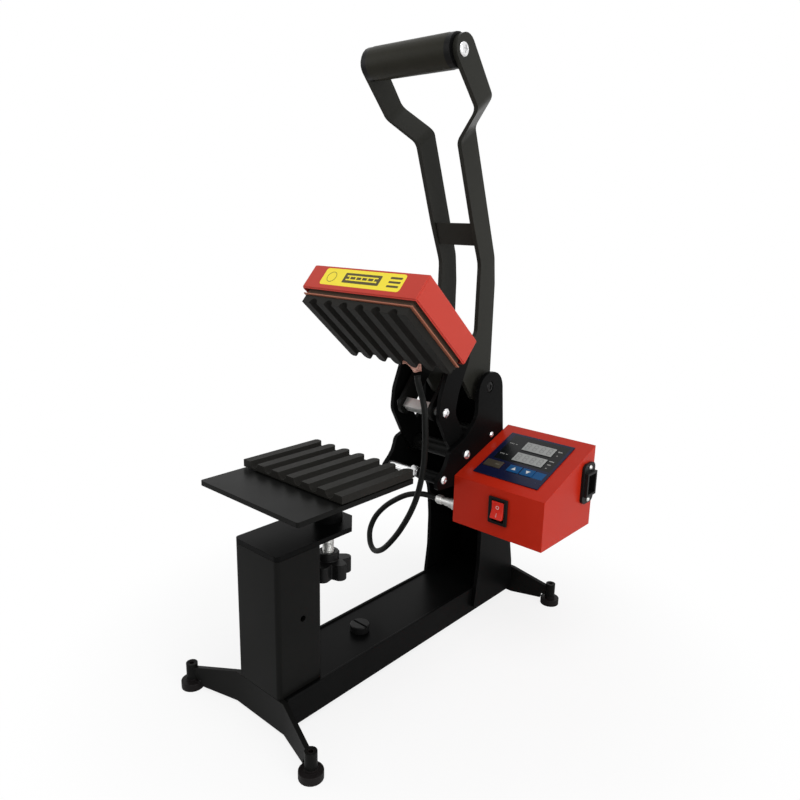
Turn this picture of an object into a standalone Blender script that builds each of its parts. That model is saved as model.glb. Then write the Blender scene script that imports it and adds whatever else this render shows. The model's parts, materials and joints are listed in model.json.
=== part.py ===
"""Pen heat press: a clamshell press with a pen mould, a toggle handle and a control box.

The machine stands in its own frame: X = 0 is the plane between the two frame plates,
Y = 0 is the front face of the front post, Z = 0 is the floor. +X is the right-hand side,
where the control box hangs, and +Y is the back. The empty "machine" then moves all of it
so that the middle of its footprint is the origin. The press is shown open: the arm is
drawn closed, with its mould level, and the empty on its pivot opens it.
"""
import math

import bmesh
import bpy
from mathutils import Matrix, Vector

MM = 0.001
HALF = 0.5
GAP = 0.3 * MM
OVERRUN = 2.0 * MM
WELD = 0.01 * MM

# Base channel, foot bars and levelling feet
CHANNEL_WIDTH = 69.2 * MM
CHANNEL_BOTTOM = 4.6 * MM
CHANNEL_HEIGHT = 31.0 * MM
CHANNEL_WALL = 3.0 * MM
DECK_RECESS = 1.6 * MM
CHANNEL_BACK = 361.0 * MM
FOOT_BAR_THICKNESS = 5.0 * MM
FOOT_BAR_BOTTOM = 2.4 * MM
FRONT_BAR_TIP_HEIGHT = 16.0 * MM
REAR_BAR_HEIGHT = 33.0 * MM
REAR_BAR_TIP_HEIGHT = 15.0 * MM
LEG_TIP_BOTTOM = 5.5 * MM
FRONT_FOOT_HALF_SPAN = 88.0 * MM
FRONT_FOOT_REACH = 14.4 * MM
REAR_FOOT_HALF_SPAN = 87.2 * MM
REAR_FOOT_REACH = 10.5 * MM
SLEEVE_RADIUS = 5.6 * MM
SLEEVE_BORE = 3.3 * MM
SLEEVE_BOTTOM = 10.5 * MM
SLEEVE_TOP = 26.0 * MM
SLEEVE_CLEARANCE = 0.8 * MM
FOOT_PAD_RADIUS = 11.0 * MM
FOOT_PAD_HEIGHT = 7.5 * MM
FOOT_NECK_RADIUS = 6.0 * MM
FOOT_STUD_RADIUS = 3.0 * MM
PLUG_RADIUS = 10.2 * MM
PLUG_HEIGHT = 8.0 * MM
PLUG_Y = 131.0 * MM
PLUG_STEM_RADIUS = 6.0 * MM
PLUG_SLOT_WIDTH = 2.4 * MM
PLUG_SLOT_DEPTH = 2.2 * MM

# Front post and the lift under the bed
POST_WIDTH = 59.9 * MM
POST_DEPTH = 51.3 * MM
POST_HEIGHT = 134.7 * MM
POST_WALL = 3.0 * MM
POST_CORNER = 4.5 * MM
POST_HOLE_RADIUS = 3.0 * MM
POST_HOLE_HEIGHT = 70.5 * MM
POST_HOLE_Y = 28.4 * MM
CAP_THICKNESS = 4.8 * MM
CAP_BACK = 108.0 * MM
CAP_CHAMFER = 19.0 * MM
SCREW_Y = 86.5 * MM
SCREW_RADIUS = 5.9 * MM
SCREW_CLEARANCE = 0.35 * MM
LIFT_NUT_RADIUS = 11.0 * MM
LIFT_NUT_HEIGHT = 10.0 * MM
COLLAR_RADIUS = 14.0 * MM
COLLAR_HEIGHT = 19.0 * MM
BOSS_SIZE = 17.0 * MM
BOSS_CLEARANCE = 0.3 * MM
BOSS_FLANGE_HEIGHT = 17.6 * MM
BOSS_LIFT_ROOM = 4.5 * MM
KNOB_RADIUS = 23.0 * MM
KNOB_LOBE_RADIUS = 6.5 * MM
KNOB_LOBES = 6
KNOB_HEIGHT = 15.8 * MM
KNOB_HUB_RADIUS = 10.5 * MM
KNOB_HUB_HEIGHT = 8.0 * MM
KNOB_DROP = 28.5 * MM
SCREW_TIP_ROOM = 1.0 * MM

# Bed and the two moulds
BED_STANDOFF = 41.4 * MM
BED_WIDTH = 135.0 * MM
BED_FRONT = -8.1 * MM
BED_BACK = 133.0 * MM
BED_THICKNESS = 4.7 * MM
BED_CORNER = 2.5 * MM
SPACER_THICKNESS = 0.8 * MM
SPACER_MARGIN = 3.5 * MM
SPACER_SETBACK = 12.0 * MM
MOULD_FRONT = 40.0 * MM
MOULD_LENGTH = 93.0 * MM
MOULD_THICKNESS = 7.1 * MM
UPPER_MOULD_THICKNESS = 8.4 * MM
GROOVE_COUNT = 6
GROOVE_PITCH = 20.8 * MM
GROOVE_RADIUS = 5.4 * MM
LAND_CHAMFER = 2.2 * MM
BED_SCREW_RADIUS = 2.5 * MM
BED_SCREW_HEAD_RADIUS = 4.5 * MM
BED_SCREW_HEAD_HEIGHT = 2.6 * MM
BED_SCREW_BITE = 3.4 * MM

# Frame plates and what joins them
FRAME_OUTER_X = 39.6 * MM
FRAME_THICKNESS = 4.7 * MM
FRAME_BOTTOM = 12.0 * MM
COLUMN_DEPTH = 80.0 * MM
ARM_PIVOT_Y = 252.0 * MM
ARM_PIVOT_DROP = 19.7 * MM
HANDLE_PIVOT_BACK = 38.0 * MM
HANDLE_PIVOT_RISE = 69.0 * MM
TIE_BACK = 45.5 * MM
TIE_HEAD_CLEARANCE = 3.5 * MM
NOSE_FORWARD = 39.0 * MM
NOSE_DROP = 19.0 * MM
BOLT_RADIUS = 3.9 * MM
BOLT_CLEARANCE = 0.3 * MM
BOLT_HEAD_RADIUS = 5.6 * MM
BOLT_HEAD_HEIGHT = 3.2 * MM
ARM_SHAFT_RADIUS = 5.9 * MM
HANDLE_SHAFT_RADIUS = 6.2 * MM
SPACER_TUBE_RADIUS = 6.4 * MM
NOSE_NUT_RADIUS = 6.4 * MM
TIE_BOLT_RADIUS = 2.2 * MM
TIE_HEAD_RADIUS = 3.3 * MM
TIE_HEAD_HEIGHT = 2.0 * MM
BACK_PLATE_THICKNESS = 3.0 * MM

# Arm, platen and heater, drawn closed
ARM_OPEN_ANGLE = math.radians(42)
ARM_OUTER_X = 34.0 * MM
ARM_THICKNESS = 4.8 * MM
LINK_PIVOT_FORWARD = 58.6 * MM
LINK_PIVOT_RISE = 16.5 * MM
ARM_BUSH_RADIUS = 9.0 * MM
CLOSED_MOULD_GAP = 10.5 * MM
COVER_WIDTH = 148.8 * MM
COVER_FRONT = 35.1 * MM
COVER_DEPTH = 99.6 * MM
COVER_HEIGHT = 28.5 * MM
COVER_WALL = 1.5 * MM
COVER_EDGE = 1.2 * MM
HEATER_THICKNESS = 2.0 * MM
HEATER_MARGIN = 3.0 * MM
RECESS_HEIGHT = 3.0 * MM
TAB_LEFT = -5.0 * MM
TAB_RIGHT = 22.0 * MM
TAB_REACH = 13.5 * MM
TAB_DROP = 9.5 * MM
TAB_THICKNESS = 5.0 * MM
BRACKET_LENGTH = 52.0 * MM
BRACKET_THICKNESS = 5.0 * MM
BRACKET_SETBACK = 9.0 * MM
LINK_BAR_SIZE = 10.8 * MM
LINK_BAR_RADIUS = 5.0 * MM

# Links and handle
LINK_OUTER_X = 22.8 * MM
LINK_THICKNESS = 4.4 * MM
LINK_EYE_RADIUS = 11.0 * MM
LINK_PIN_PLAY = 2.7 * MM
CRANK_LENGTH = 45.0 * MM
CRANK_ANGLE = math.radians(129.4)
CRANK_PIN_RADIUS = 4.0 * MM
HANDLE_OUTER_X = 28.4 * MM
HANDLE_THICKNESS = 4.8 * MM
HANDLE_LENGTH = 320.0 * MM
HANDLE_LEAN = 96.0 * MM
FORK_SPREAD = 30.0 * MM
CROSS_PLATE_THICKNESS = 5.0 * MM
GRIP_RADIUS = 15.4 * MM
GRIP_END_RADIUS = 15.1 * MM
GRIP_COLLAR = 6.0 * MM
GRIP_ROD_RADIUS = 5.0 * MM
GRIP_SCREW_RADIUS = 3.0 * MM
GRIP_SCREW_HEAD_RADIUS = 5.2 * MM
GRIP_SCREW_HEAD_HEIGHT = 2.4 * MM

# Control box and what it holds
BOX_WIDTH = 109.5 * MM
BOX_DEPTH = 99.0 * MM
BOX_FRONT_HEIGHT = 52.5 * MM
BOX_BACK_HEIGHT = 89.0 * MM
BOX_FORWARD = 20.0 * MM
BOX_DROP = 71.0 * MM
BOX_WALL = 1.5 * MM
OVERLAY_LEFT = 14.5 * MM
OVERLAY_WIDTH = 78.5 * MM
OVERLAY_SETBACK = 14.0 * MM
OVERLAY_LENGTH = 78.0 * MM
OVERLAY_THICKNESS = 1.0 * MM
WINDOW_LEFT = 42.0 * MM
WINDOW_WIDTH = 36.0 * MM
WINDOW_HEIGHT = 14.5 * MM
LOWER_WINDOW_SETBACK = 46.3 * MM
UPPER_WINDOW_SETBACK = 66.3 * MM
KEY_TRAVEL = 0.4 * MM
KEY_THICKNESS = 1.3 * MM
KEY_CLEARANCE = 0.35 * MM
KEY_SETBACK = 28.0 * MM
KEY_HEIGHT = 11.0 * MM
SET_KEY_LEFT = 17.7 * MM
SET_KEY_WIDTH = 20.5 * MM
UP_KEY_LEFT = 46.5 * MM
DOWN_KEY_LEFT = 62.5 * MM
ARROW_KEY_WIDTH = 14.5 * MM
SWITCH_X = 57.6 * MM
SWITCH_Z = 29.0 * MM
BEZEL_WIDTH = 23.0 * MM
BEZEL_HEIGHT = 29.0 * MM
BEZEL_PROUD = 2.4 * MM
SWITCH_BODY_WIDTH = 18.6 * MM
SWITCH_BODY_HEIGHT = 24.4 * MM
SWITCH_BODY_DEPTH = 19.0 * MM
ROCKER_WIDTH = 14.0 * MM
ROCKER_HEIGHT = 18.6 * MM
ROCKER_CLEARANCE = 0.5 * MM
ROCKER_SWING_ROOM = 1.9 * MM
ROCKER_PIVOT_DEPTH = 4.5 * MM
ROCKER_TILT = math.radians(10)
INLET_FROM_BACK = 15.0 * MM
INLET_Z = 51.5 * MM
INLET_WIDTH = 23.6 * MM
INLET_HEIGHT = 44.0 * MM
INLET_FLANGE = 3.0 * MM
INLET_BODY_WIDTH = 20.0 * MM
INLET_BODY_HEIGHT = 26.0 * MM
INLET_PROUD = 7.0 * MM
INLET_BODY_DEPTH = 16.0 * MM
INLET_SOCKET_DEPTH = 14.0 * MM
INLET_SOCKET_WALL = 2.6 * MM
INLET_PIN_WIDTH = 2.0 * MM
INLET_PIN_HEIGHT = 4.0 * MM
INLET_PIN_SPACING = 7.0 * MM
INLET_PIN_RECESS = 4.6 * MM
BOX_SCREW_RADIUS = 1.5 * MM
BOX_SCREW_HEAD_RADIUS = 2.8 * MM
BOX_SCREW_HEAD_HEIGHT = 1.6 * MM
MOUNT_SCREW_RADIUS = 2.0 * MM
MOUNT_STRIP_WIDTH = 12.0 * MM
MOUNT_STRIP_THICKNESS = 3.0 * MM

# Heater lead and its connector
SOCKET_FORWARD = 14.0 * MM
SOCKET_DROP = 54.0 * MM
SOCKET_RADIUS = 6.8 * MM
SOCKET_LENGTH = 3.0 * MM
SOCKET_THREAD_RADIUS = 4.0 * MM
SOCKET_THREAD_LENGTH = 9.0 * MM
PLUG_BODY_LENGTH = 23.5 * MM
PLUG_BODY_RADIUS = 5.6 * MM
LEAD_RADIUS = 3.2 * MM
LEAD_STEP = 8.0 * MM

# Outlines, as shares of the sizes that they follow. Frame plate: Y from the arm pivot in
# column depths, Z from the plate's bottom in pivot heights, radius in column depths.
FRAME_OUTLINE_SHARES = (
    (0.362, 0.0, 0.03), (0.45, 0.27, 0.4), (0.455, 0.47, 0.7), (0.40, 0.70, 0.5),
    (0.06, 0.835, 0.22), (-0.61, 0.855, 0.056), (-0.61, 0.904, 0.075), (-0.416, 0.975, 0.3),
    (-0.375, 1.05, 0.1),
    (-0.05, 1.095, 0.2), (0.225, 1.19, 0.24), (0.225, 1.431, 0.262), (0.765, 1.431, 0.262),
    (0.86, 1.085, 0.6), (1.325, 0.17, 0.6), (1.355, 0.0, 0.03),
)
# Back plate: its rear face from the rim of the channel up, in the frame plate's own units
BACK_PLATE_SHARES = ((1.328, 0.12), (1.318, 0.17), (0.853, 1.085), (0.745, 1.355))
# Arm plate: Y forward of the arm pivot and Z above it in arm rises. Its lobe and neck go by the
# link pivot's distance forward, and its nose over the platen by arm reaches.
ARM_BACK_SHARES = (
    (-0.271, -0.21, 0.271), (-0.271, 0.21, 0.257), (0.242, 0.24, 0.171), (0.747, 0.345, 0.285),
    (0.927, 0.62, 0.342), (1.141, 1.21, 0.257),
)
ARM_NOSE_SHARES = ((1.05, 1.21, 0.04), (1.05, 1.045, 0.02))
ARM_FRONT_SHARES = (
    (1.711, 1.045, 0.2), (1.469, 0.72, 0.57), (1.297, 0.33, 0.456), (1.069, 0.075, 0.228),
    (0.570, -0.06, 0.285),
)
# Handle arm: Y forward of the handle pivot and Z above it. Its back and front edges go by the
# handle's lean and length, with radii in leans, and the lobe round the crank pin by crank lengths.
HANDLE_BACK_SHARES = (
    (1.167, 1.006, 0.137), (0.937, 1.062, 0.137), (0.51, 0.900, 0.1), (0.333, 0.818, 0.133),
    (-0.125, 0.434, 0.267), (-0.157, 0.344, 0.267),
)
CRANK_LOBE_SHARES = (
    (-0.334, -0.341, 0.32), (0.32, -0.356, 0.284), (0.967, 0.484, 0.242), (0.967, 1.067, 0.242),
    (0.292, 1.266, 0.178),
)
HANDLE_FRONT_SHARES = (
    (0.125, 0.4125, 0.267), (0.302, 0.541, 0.333), (0.593, 0.7875, 0.133), (0.75, 0.8656, 0.1),
)
FORK_UPPER_SHARE = (0.625, 0.8766)
FORK_LOWER_SHARE = (0.463, 0.8047)
CROSS_PLATE_SHARES = ((0.277, 0.5406), (0.192, 0.4700))
COLLAR_NUT_SHARE = 0.5
DOME_SHARE = 0.55
KNOB_WAIST_SHARE = 0.66
PLUG_STEP_SHARES = ((0.0, 1.0), (0.2, 1.0), (0.22, 0.86), (0.45, 0.86), (0.47, 0.74),
                    (0.66, 0.74), (0.68, 0.92), (0.9, 0.92), (1.0, 0.7))
BED_SCREW_ROW_SHARE = 0.5
MOUNT_SCREW_SHARES = ((0.72, 0.42), (0.72, 0.72))
NOSE_NUT_SHARES = (-0.08, 0.14)
NOSE_SLEEVE_START_SHARE = 0.22

# The lead hangs in a loop from the heater's tab to the connector. Points in the machine's
# frame, in millimetres, chosen by hand.
LEAD_ROUTE = (
    (17.5, 192.3, 301.3), (18.8, 192, 295), (23, 191, 286.5), (28.5, 189.5, 277), (31.5, 189, 266),
    (32.5, 189, 253), (32.5, 190, 240), (31.5, 191, 226), (29, 193, 209), (25, 194, 190),
    (20, 195, 173), (14.5, 195, 158), (5.5, 195, 140), (-8, 196, 119), (-24, 197.5, 99.5),
    (-37.5, 200.5, 88), (-51, 205, 82.5), (-63, 211, 86.5), (-69, 217, 98.5), (-65.5, 222, 114),
    (-54.5, 226.5, 129), (-41, 230.8, 140.5), (-28, 234.5, 148.5), (-14.5, 236.8, 153),
    (-2, 237.9, 155), (12.7, 238, 155),
)

# Colours (linear RGB), roughness and metallic value of each finish
FINISHES = {
    "black_coat": ((0.020, 0.020, 0.020), 0.45, 0.0),
    "black_plastic": ((0.012, 0.012, 0.012), 0.5, 0.0),
    "rubber": ((0.010, 0.010, 0.010), 0.8, 0.0),
    "mould_coat": ((0.045, 0.044, 0.040), 0.62, 0.0),
    "red_coat": ((0.52, 0.045, 0.022), 0.4, 0.0),
    "zinc": ((0.62, 0.62, 0.60), 0.3, 1.0),
    "chrome": ((0.80, 0.80, 0.80), 0.12, 1.0),
    "heater": ((0.62, 0.20, 0.11), 0.6, 0.0),
    "insulation": ((0.10, 0.055, 0.035), 0.9, 0.0),
    "silicone": ((0.42, 0.40, 0.36), 0.7, 0.0),
    "navy_film": ((0.010, 0.020, 0.070), 0.3, 0.0),
    "window": ((0.32, 0.33, 0.32), 0.2, 0.0),
    "brown_key": ((0.050, 0.034, 0.026), 0.4, 0.0),
    "blue_key": ((0.004, 0.060, 0.200), 0.4, 0.0),
    "red_switch": ((0.70, 0.030, 0.015), 0.3, 0.0),
}

ROUND_SIDES = 20
BOLT_SIDES = 16
SMALL_SIDES = 12
GROOVE_STEPS = 8
CORNER_STEPS = 4
LEAD_SPLINE_STEPS = 12

# Heights and places worked out from the sizes above
channel_top = CHANNEL_BOTTOM + CHANNEL_HEIGHT
deck_top = channel_top - DECK_RECESS
channel_front = FOOT_BAR_THICKNESS + GAP
post_bottom = deck_top + GAP
post_top = post_bottom + POST_HEIGHT
cap_bottom = post_top + GAP
cap_top = cap_bottom + CAP_THICKNESS
bed_bottom = cap_top + BED_STANDOFF
bed_top = bed_bottom + BED_THICKNESS
flange_bottom = bed_bottom - BOSS_FLANGE_HEIGHT
mould_bottom = bed_top + SPACER_THICKNESS + GAP + GAP
mould_top = mould_bottom + MOULD_THICKNESS
mould_back = MOULD_FRONT + MOULD_LENGTH
mould_width = BED_WIDTH

frame_inner_x = FRAME_OUTER_X - FRAME_THICKNESS
rod_reach = frame_inner_x - GAP
arm_inner_x = ARM_OUTER_X - ARM_THICKNESS
link_inner_x = LINK_OUTER_X - LINK_THICKNESS
handle_inner_x = HANDLE_OUTER_X - HANDLE_THICKNESS

arm_pivot = Vector((0, ARM_PIVOT_Y, mould_top - ARM_PIVOT_DROP))
handle_pivot = arm_pivot + Vector((0, HANDLE_PIVOT_BACK, HANDLE_PIVOT_RISE))
nose_place = arm_pivot - Vector((0, NOSE_FORWARD, NOSE_DROP))
link_pivot_closed = arm_pivot + Vector((0, -LINK_PIVOT_FORWARD, LINK_PIVOT_RISE))
opening = Matrix.Rotation(-ARM_OPEN_ANGLE, 3, "X")
link_pivot = arm_pivot + opening @ (link_pivot_closed - arm_pivot)
crank_pin = handle_pivot + CRANK_LENGTH * Vector((0, math.cos(CRANK_ANGLE), math.sin(CRANK_ANGLE)))
grip_centre = handle_pivot + Vector((0, -HANDLE_LEAN, HANDLE_LENGTH))

land_bottom = mould_top + CLOSED_MOULD_GAP
upper_mould_top = land_bottom + UPPER_MOULD_THICKNESS
heater_bottom = upper_mould_top + GAP
heater_top = heater_bottom + HEATER_THICKNESS
cover_bottom = heater_top + RECESS_HEIGHT
cover_top = cover_bottom + COVER_HEIGHT
cover_back = COVER_FRONT + COVER_DEPTH
arm_reach = ARM_PIVOT_Y - COVER_FRONT - COVER_DEPTH * HALF
arm_rise = cover_top - arm_pivot.z

box_left = FRAME_OUTER_X + GAP
box_right = box_left + BOX_WIDTH
box_front = ARM_PIVOT_Y - BOX_FORWARD
box_back = box_front + BOX_DEPTH
box_bottom = arm_pivot.z - BOX_DROP
slope_rise = BOX_BACK_HEIGHT - BOX_FRONT_HEIGHT
slope_angle = math.atan2(slope_rise, BOX_DEPTH)
tie_y = ARM_PIVOT_Y + TIE_BACK
box_top_at_tie = box_bottom + BOX_FRONT_HEIGHT + (tie_y - box_front) * slope_rise / BOX_DEPTH
tie_head_room = TIE_HEAD_RADIUS / math.cos(slope_angle) + TIE_HEAD_CLEARANCE
tie_place = Vector((0, tie_y, box_top_at_tie + tie_head_room))
socket_place = Vector((box_left, ARM_PIVOT_Y - SOCKET_FORWARD, arm_pivot.z - SOCKET_DROP))
rocker_pivot = Vector((box_left + SWITCH_X, box_front + ROCKER_PIVOT_DEPTH, box_bottom + SWITCH_Z))
inlet_place = Vector((box_right, box_back - INLET_FROM_BACK, box_bottom + INLET_Z))

front_foot_y = -FRONT_FOOT_REACH
rear_foot_y = CHANNEL_BACK + GAP + FOOT_BAR_THICKNESS * HALF + REAR_FOOT_REACH
footprint_left = -FRONT_FOOT_HALF_SPAN - FOOT_PAD_RADIUS
footprint_right = box_right + INLET_PROUD
footprint_front = front_foot_y - FOOT_PAD_RADIUS
footprint_back = rear_foot_y + FOOT_PAD_RADIUS
footprint_middle = Vector((
    (footprint_left + footprint_right) * HALF,
    (footprint_front + footprint_back) * HALF,
    0,
))


def clear_scene():
    """Removes every object, so that the script can be run again."""
    for old in list(bpy.data.objects):
        bpy.data.objects.remove(old, do_unlink=True)


def new_collection(name):
    """Makes a collection under the scene's own."""
    collection = bpy.data.collections.new(name)
    bpy.context.scene.collection.children.link(collection)
    return collection


clear_scene()
PARTS = new_collection("pen_heat_press")
CUTTERS = new_collection("cutters")


class Body:
    """A rigid group: an empty on its joint's axis, which its pieces have as their parent."""

    def __init__(self, name, pivot, parent=None, turn=None):
        self.pivot = pivot
        self.empty = bpy.data.objects.new(name, None)
        PARTS.objects.link(self.empty)
        self.empty.parent = parent.empty if parent else None
        parent_pivot = parent.pivot if parent else Vector((0, 0, 0))
        self.empty.location = pivot - parent_pivot
        if turn:
            self.empty.rotation_euler = turn


def surface_material(name, finish):
    """Gives a piece its own Principled material."""
    colour, roughness, metallic = FINISHES[finish]
    material = bpy.data.materials.new(name)
    material.use_nodes = True
    shader = material.node_tree.nodes["Principled BSDF"]
    shader.inputs["Base Color"].default_value = (*colour, 1)
    shader.inputs["Roughness"].default_value = roughness
    shader.inputs["Metallic"].default_value = metallic
    material.diffuse_color = (*colour, 1)
    return material


def evaluated_mesh(maker):
    """Turns a scratch object, such as a curve, into a welded mesh and removes it."""
    PARTS.objects.link(maker)
    graph = bpy.context.evaluated_depsgraph_get()
    mesh = bpy.data.meshes.new_from_object(maker.evaluated_get(graph))
    bpy.data.objects.remove(maker, do_unlink=True)
    welded = bmesh.new()
    welded.from_mesh(mesh)
    bmesh.ops.remove_doubles(welded, verts=welded.verts, dist=WELD)
    bmesh.ops.recalc_face_normals(welded, faces=welded.faces)
    welded.to_mesh(mesh)
    welded.free()
    return mesh


def rounded(corners):
    """Turns (u, v, radius) corners into points, with an arc at each corner."""
    points = []
    for index, (u, v, radius) in enumerate(corners):
        corner = Vector((u, v))
        before = (Vector(corners[index - 1][:2]) - corner).normalized()
        after = (Vector(corners[(index + 1) % len(corners)][:2]) - corner).normalized()
        half_angle = before.angle(after) * HALF
        if radius <= 0 or half_angle > math.radians(89):
            points.append(corner)
            continue
        reach = radius / math.tan(half_angle)
        centre = corner + (before + after).normalized() * (radius / math.sin(half_angle))
        start = corner + before * reach - centre
        end = corner + after * reach - centre
        sweep = start.angle_signed(end)
        steps = max(2, round(CORNER_STEPS * abs(sweep) / math.radians(60)))
        for step in range(steps + 1):
            turn = Matrix.Rotation(-sweep * step / steps, 2)
            points.append(centre + turn @ start)
    return points


def circle(centre_u, centre_v, radius, sides=ROUND_SIDES):
    """Points of a round hole or disc."""
    step = math.tau / sides
    return [
        Vector((centre_u + radius * math.cos(i * step), centre_v + radius * math.sin(i * step)))
        for i in range(sides)
    ]


def polar(turn, radius):
    return Vector((radius * math.cos(turn), radius * math.sin(turn)))


def box_outline(u0, v0, u1, v1, radius=0):
    """Corners of a rectangle with rounded corners."""
    return rounded([(u0, v0, radius), (u1, v0, radius), (u1, v1, radius), (u0, v1, radius)])


# How an outline's own U, V and depth lie in the machine's frame
ALONG_X = Matrix(((0, 0, 1), (1, 0, 0), (0, 1, 0))).to_4x4()
ALONG_Y = Matrix(((0, 1, 0), (0, 0, 1), (1, 0, 0))).to_4x4()
ALONG_Z = Matrix.Identity(4)


class Piece:
    """Gathers the shapes of one piece and makes the object from them."""

    def __init__(self, name, body, finish=None):
        self.name = name
        self.body = body
        self.finish = finish
        self.shape = bmesh.new()
        self.cutters = []

    def add_mesh(self, mesh, place):
        placed = mesh.copy()
        placed.transform(place)
        self.shape.from_mesh(placed)
        bpy.data.meshes.remove(placed)

    def box(self, low, high, place=Matrix.Identity(4)):
        low, high = Vector(low), Vector(high)
        size = Matrix.Diagonal((high - low).to_4d())
        size[3][3] = 1
        centre = Matrix.Translation((low + high) * HALF)
        bmesh.ops.create_cube(self.shape, size=1, matrix=place @ centre @ size)
        return self

    def rod(self, start, end, radius, sides=ROUND_SIDES, end_radius=None):
        start, end = Vector(start), Vector(end)
        along = end - start
        turn = along.to_track_quat("Z", "Y").to_matrix().to_4x4()
        place = Matrix.Translation((start + end) * HALF) @ turn
        bmesh.ops.create_cone(
            self.shape, cap_ends=True, segments=sides, radius1=radius,
            radius2=radius if end_radius is None else end_radius, depth=along.length, matrix=place)
        return self

    def plate(self, outlines, direction, start, end, place=Matrix.Identity(4)):
        """Fills flat outlines, inner ones as holes, and extrudes them from start to end."""
        curve = bpy.data.curves.new("outline", "CURVE")
        curve.dimensions = "2D"
        curve.fill_mode = "BOTH"
        curve.extrude = (end - start) * HALF
        for outline in outlines:
            spline = curve.splines.new("POLY")
            spline.points.add(len(outline) - 1)
            for point, flat in zip(spline.points, outline):
                point.co = (flat[0], flat[1], 0, 1)
            spline.use_cyclic_u = True
        mesh = evaluated_mesh(bpy.data.objects.new("outline", curve))
        middle = Matrix.Translation((0, 0, (start + end) * HALF))
        self.add_mesh(mesh, place @ direction @ middle)
        return self

    def turned(self, profile, start, direction, sides=ROUND_SIDES):
        """Turns a (radius, height) profile, given top to bottom down its outer side."""
        mesh = bpy.data.meshes.new("profile")
        points = [(radius, 0, height) for radius, height in profile]
        mesh.from_pydata(points, [(i, i + 1) for i in range(len(points) - 1)], [])
        maker = bpy.data.objects.new("profile", mesh)
        screw = maker.modifiers.new("turn", "SCREW")
        screw.steps = sides
        screw.render_steps = sides
        screw.use_merge_vertices = True
        screw.merge_threshold = WELD
        turned_mesh = evaluated_mesh(maker)
        tilt = Vector(direction).to_track_quat("Z", "Y").to_matrix().to_4x4()
        self.add_mesh(turned_mesh, Matrix.Translation(start) @ tilt)
        return self

    def tube(self, points, radius):
        curve = bpy.data.curves.new("tube", "CURVE")
        curve.dimensions = "3D"
        curve.bevel_depth = radius
        curve.bevel_resolution = 2
        curve.use_fill_caps = True
        spline = curve.splines.new("POLY")
        spline.points.add(len(points) - 1)
        for point, place in zip(spline.points, points):
            point.co = (*place, 1)
        self.add_mesh(evaluated_mesh(bpy.data.objects.new("tube", curve)), Matrix.Identity(4))
        return self

    def bend(self, ramp_start, ramp_end, shift):
        """Moves what lies past ramp_end by shift, and what lies between by its part of it."""
        along = ramp_end - ramp_start
        everything = self.shape.verts[:] + self.shape.edges[:] + self.shape.faces[:]
        for place in (ramp_start, ramp_end):
            everything = bmesh.ops.bisect_plane(
                self.shape, geom=everything, plane_co=place, plane_no=along)["geom"]
        for vertex in self.shape.verts:
            share = (vertex.co - ramp_start).dot(along) / along.length_squared
            vertex.co += shift * min(max(share, 0), 1)
        return self

    def mirrored(self):
        """Flips the shape across the plane between the frame plates."""
        bmesh.ops.scale(self.shape, vec=(-1, 1, 1), verts=self.shape.verts)
        bmesh.ops.reverse_faces(self.shape, faces=self.shape.faces)
        return self

    def object(self, collection):
        mesh = bpy.data.meshes.new(self.name)
        bmesh.ops.transform(
            self.shape, matrix=Matrix.Translation(-self.body.pivot), verts=self.shape.verts)
        self.shape.to_mesh(mesh)
        self.shape.free()
        made = bpy.data.objects.new(self.name, mesh)
        made.parent = self.body.empty
        collection.objects.link(made)
        return made

    def cut(self, cutter, operation="DIFFERENCE"):
        self.cutters.append((cutter, operation))
        return self

    def done(self):
        made = self.object(PARTS)
        made.data.shade_smooth()
        made.data.set_sharp_from_angle(angle=math.radians(35))
        made.data.materials.append(surface_material(self.name, self.finish))
        for cutter, operation in self.cutters:
            tool = cutter.object(CUTTERS)
            tool.hide_render = True
            tool.display_type = "WIRE"
            boolean = made.modifiers.new(tool.name, "BOOLEAN")
            boolean.operation = operation
            boolean.object = tool
            boolean.solver = "EXACT"
        return made


machine = Body("machine", Vector((0, 0, 0)))
machine.empty.location = -footprint_middle
bed = Body("bed_slide", Vector((0, SCREW_Y, bed_bottom)), machine)
knob = Body("knob_axis", Vector((0, SCREW_Y, cap_bottom)), machine)
arm = Body("arm_axis", arm_pivot, machine, turn=(-ARM_OPEN_ANGLE, 0, 0))
links = Body("link_axis", link_pivot, machine)
handle = Body("handle_axis", handle_pivot, machine)
rocker = Body("rocker_axis", rocker_pivot, machine, turn=(-ROCKER_TILT, 0, 0))
panel = Body("panel", Vector((box_left, box_front, box_bottom + BOX_FRONT_HEIGHT)), machine,
             turn=(slope_angle, 0, 0))


def through_bolt(piece, place, inner, outer, middle, neck, head, head_height):
    """Turns a shaft between two plates, with a neck through each and a domed head outside."""
    shoulder = inner - GAP
    seat = outer + GAP
    half = [
        (0, seat + head_height), (head * DOME_SHARE, seat + head_height),
        (head, seat + head_height * DOME_SHARE), (head, seat), (neck, seat), (neck, shoulder),
    ]
    if middle > neck:
        half.append((middle, shoulder))
    profile = half + [(radius, -along) for radius, along in reversed(half)]
    return piece.turned(profile, (0, place.y, place.z), (1, 0, 0), BOLT_SIDES)


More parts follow.
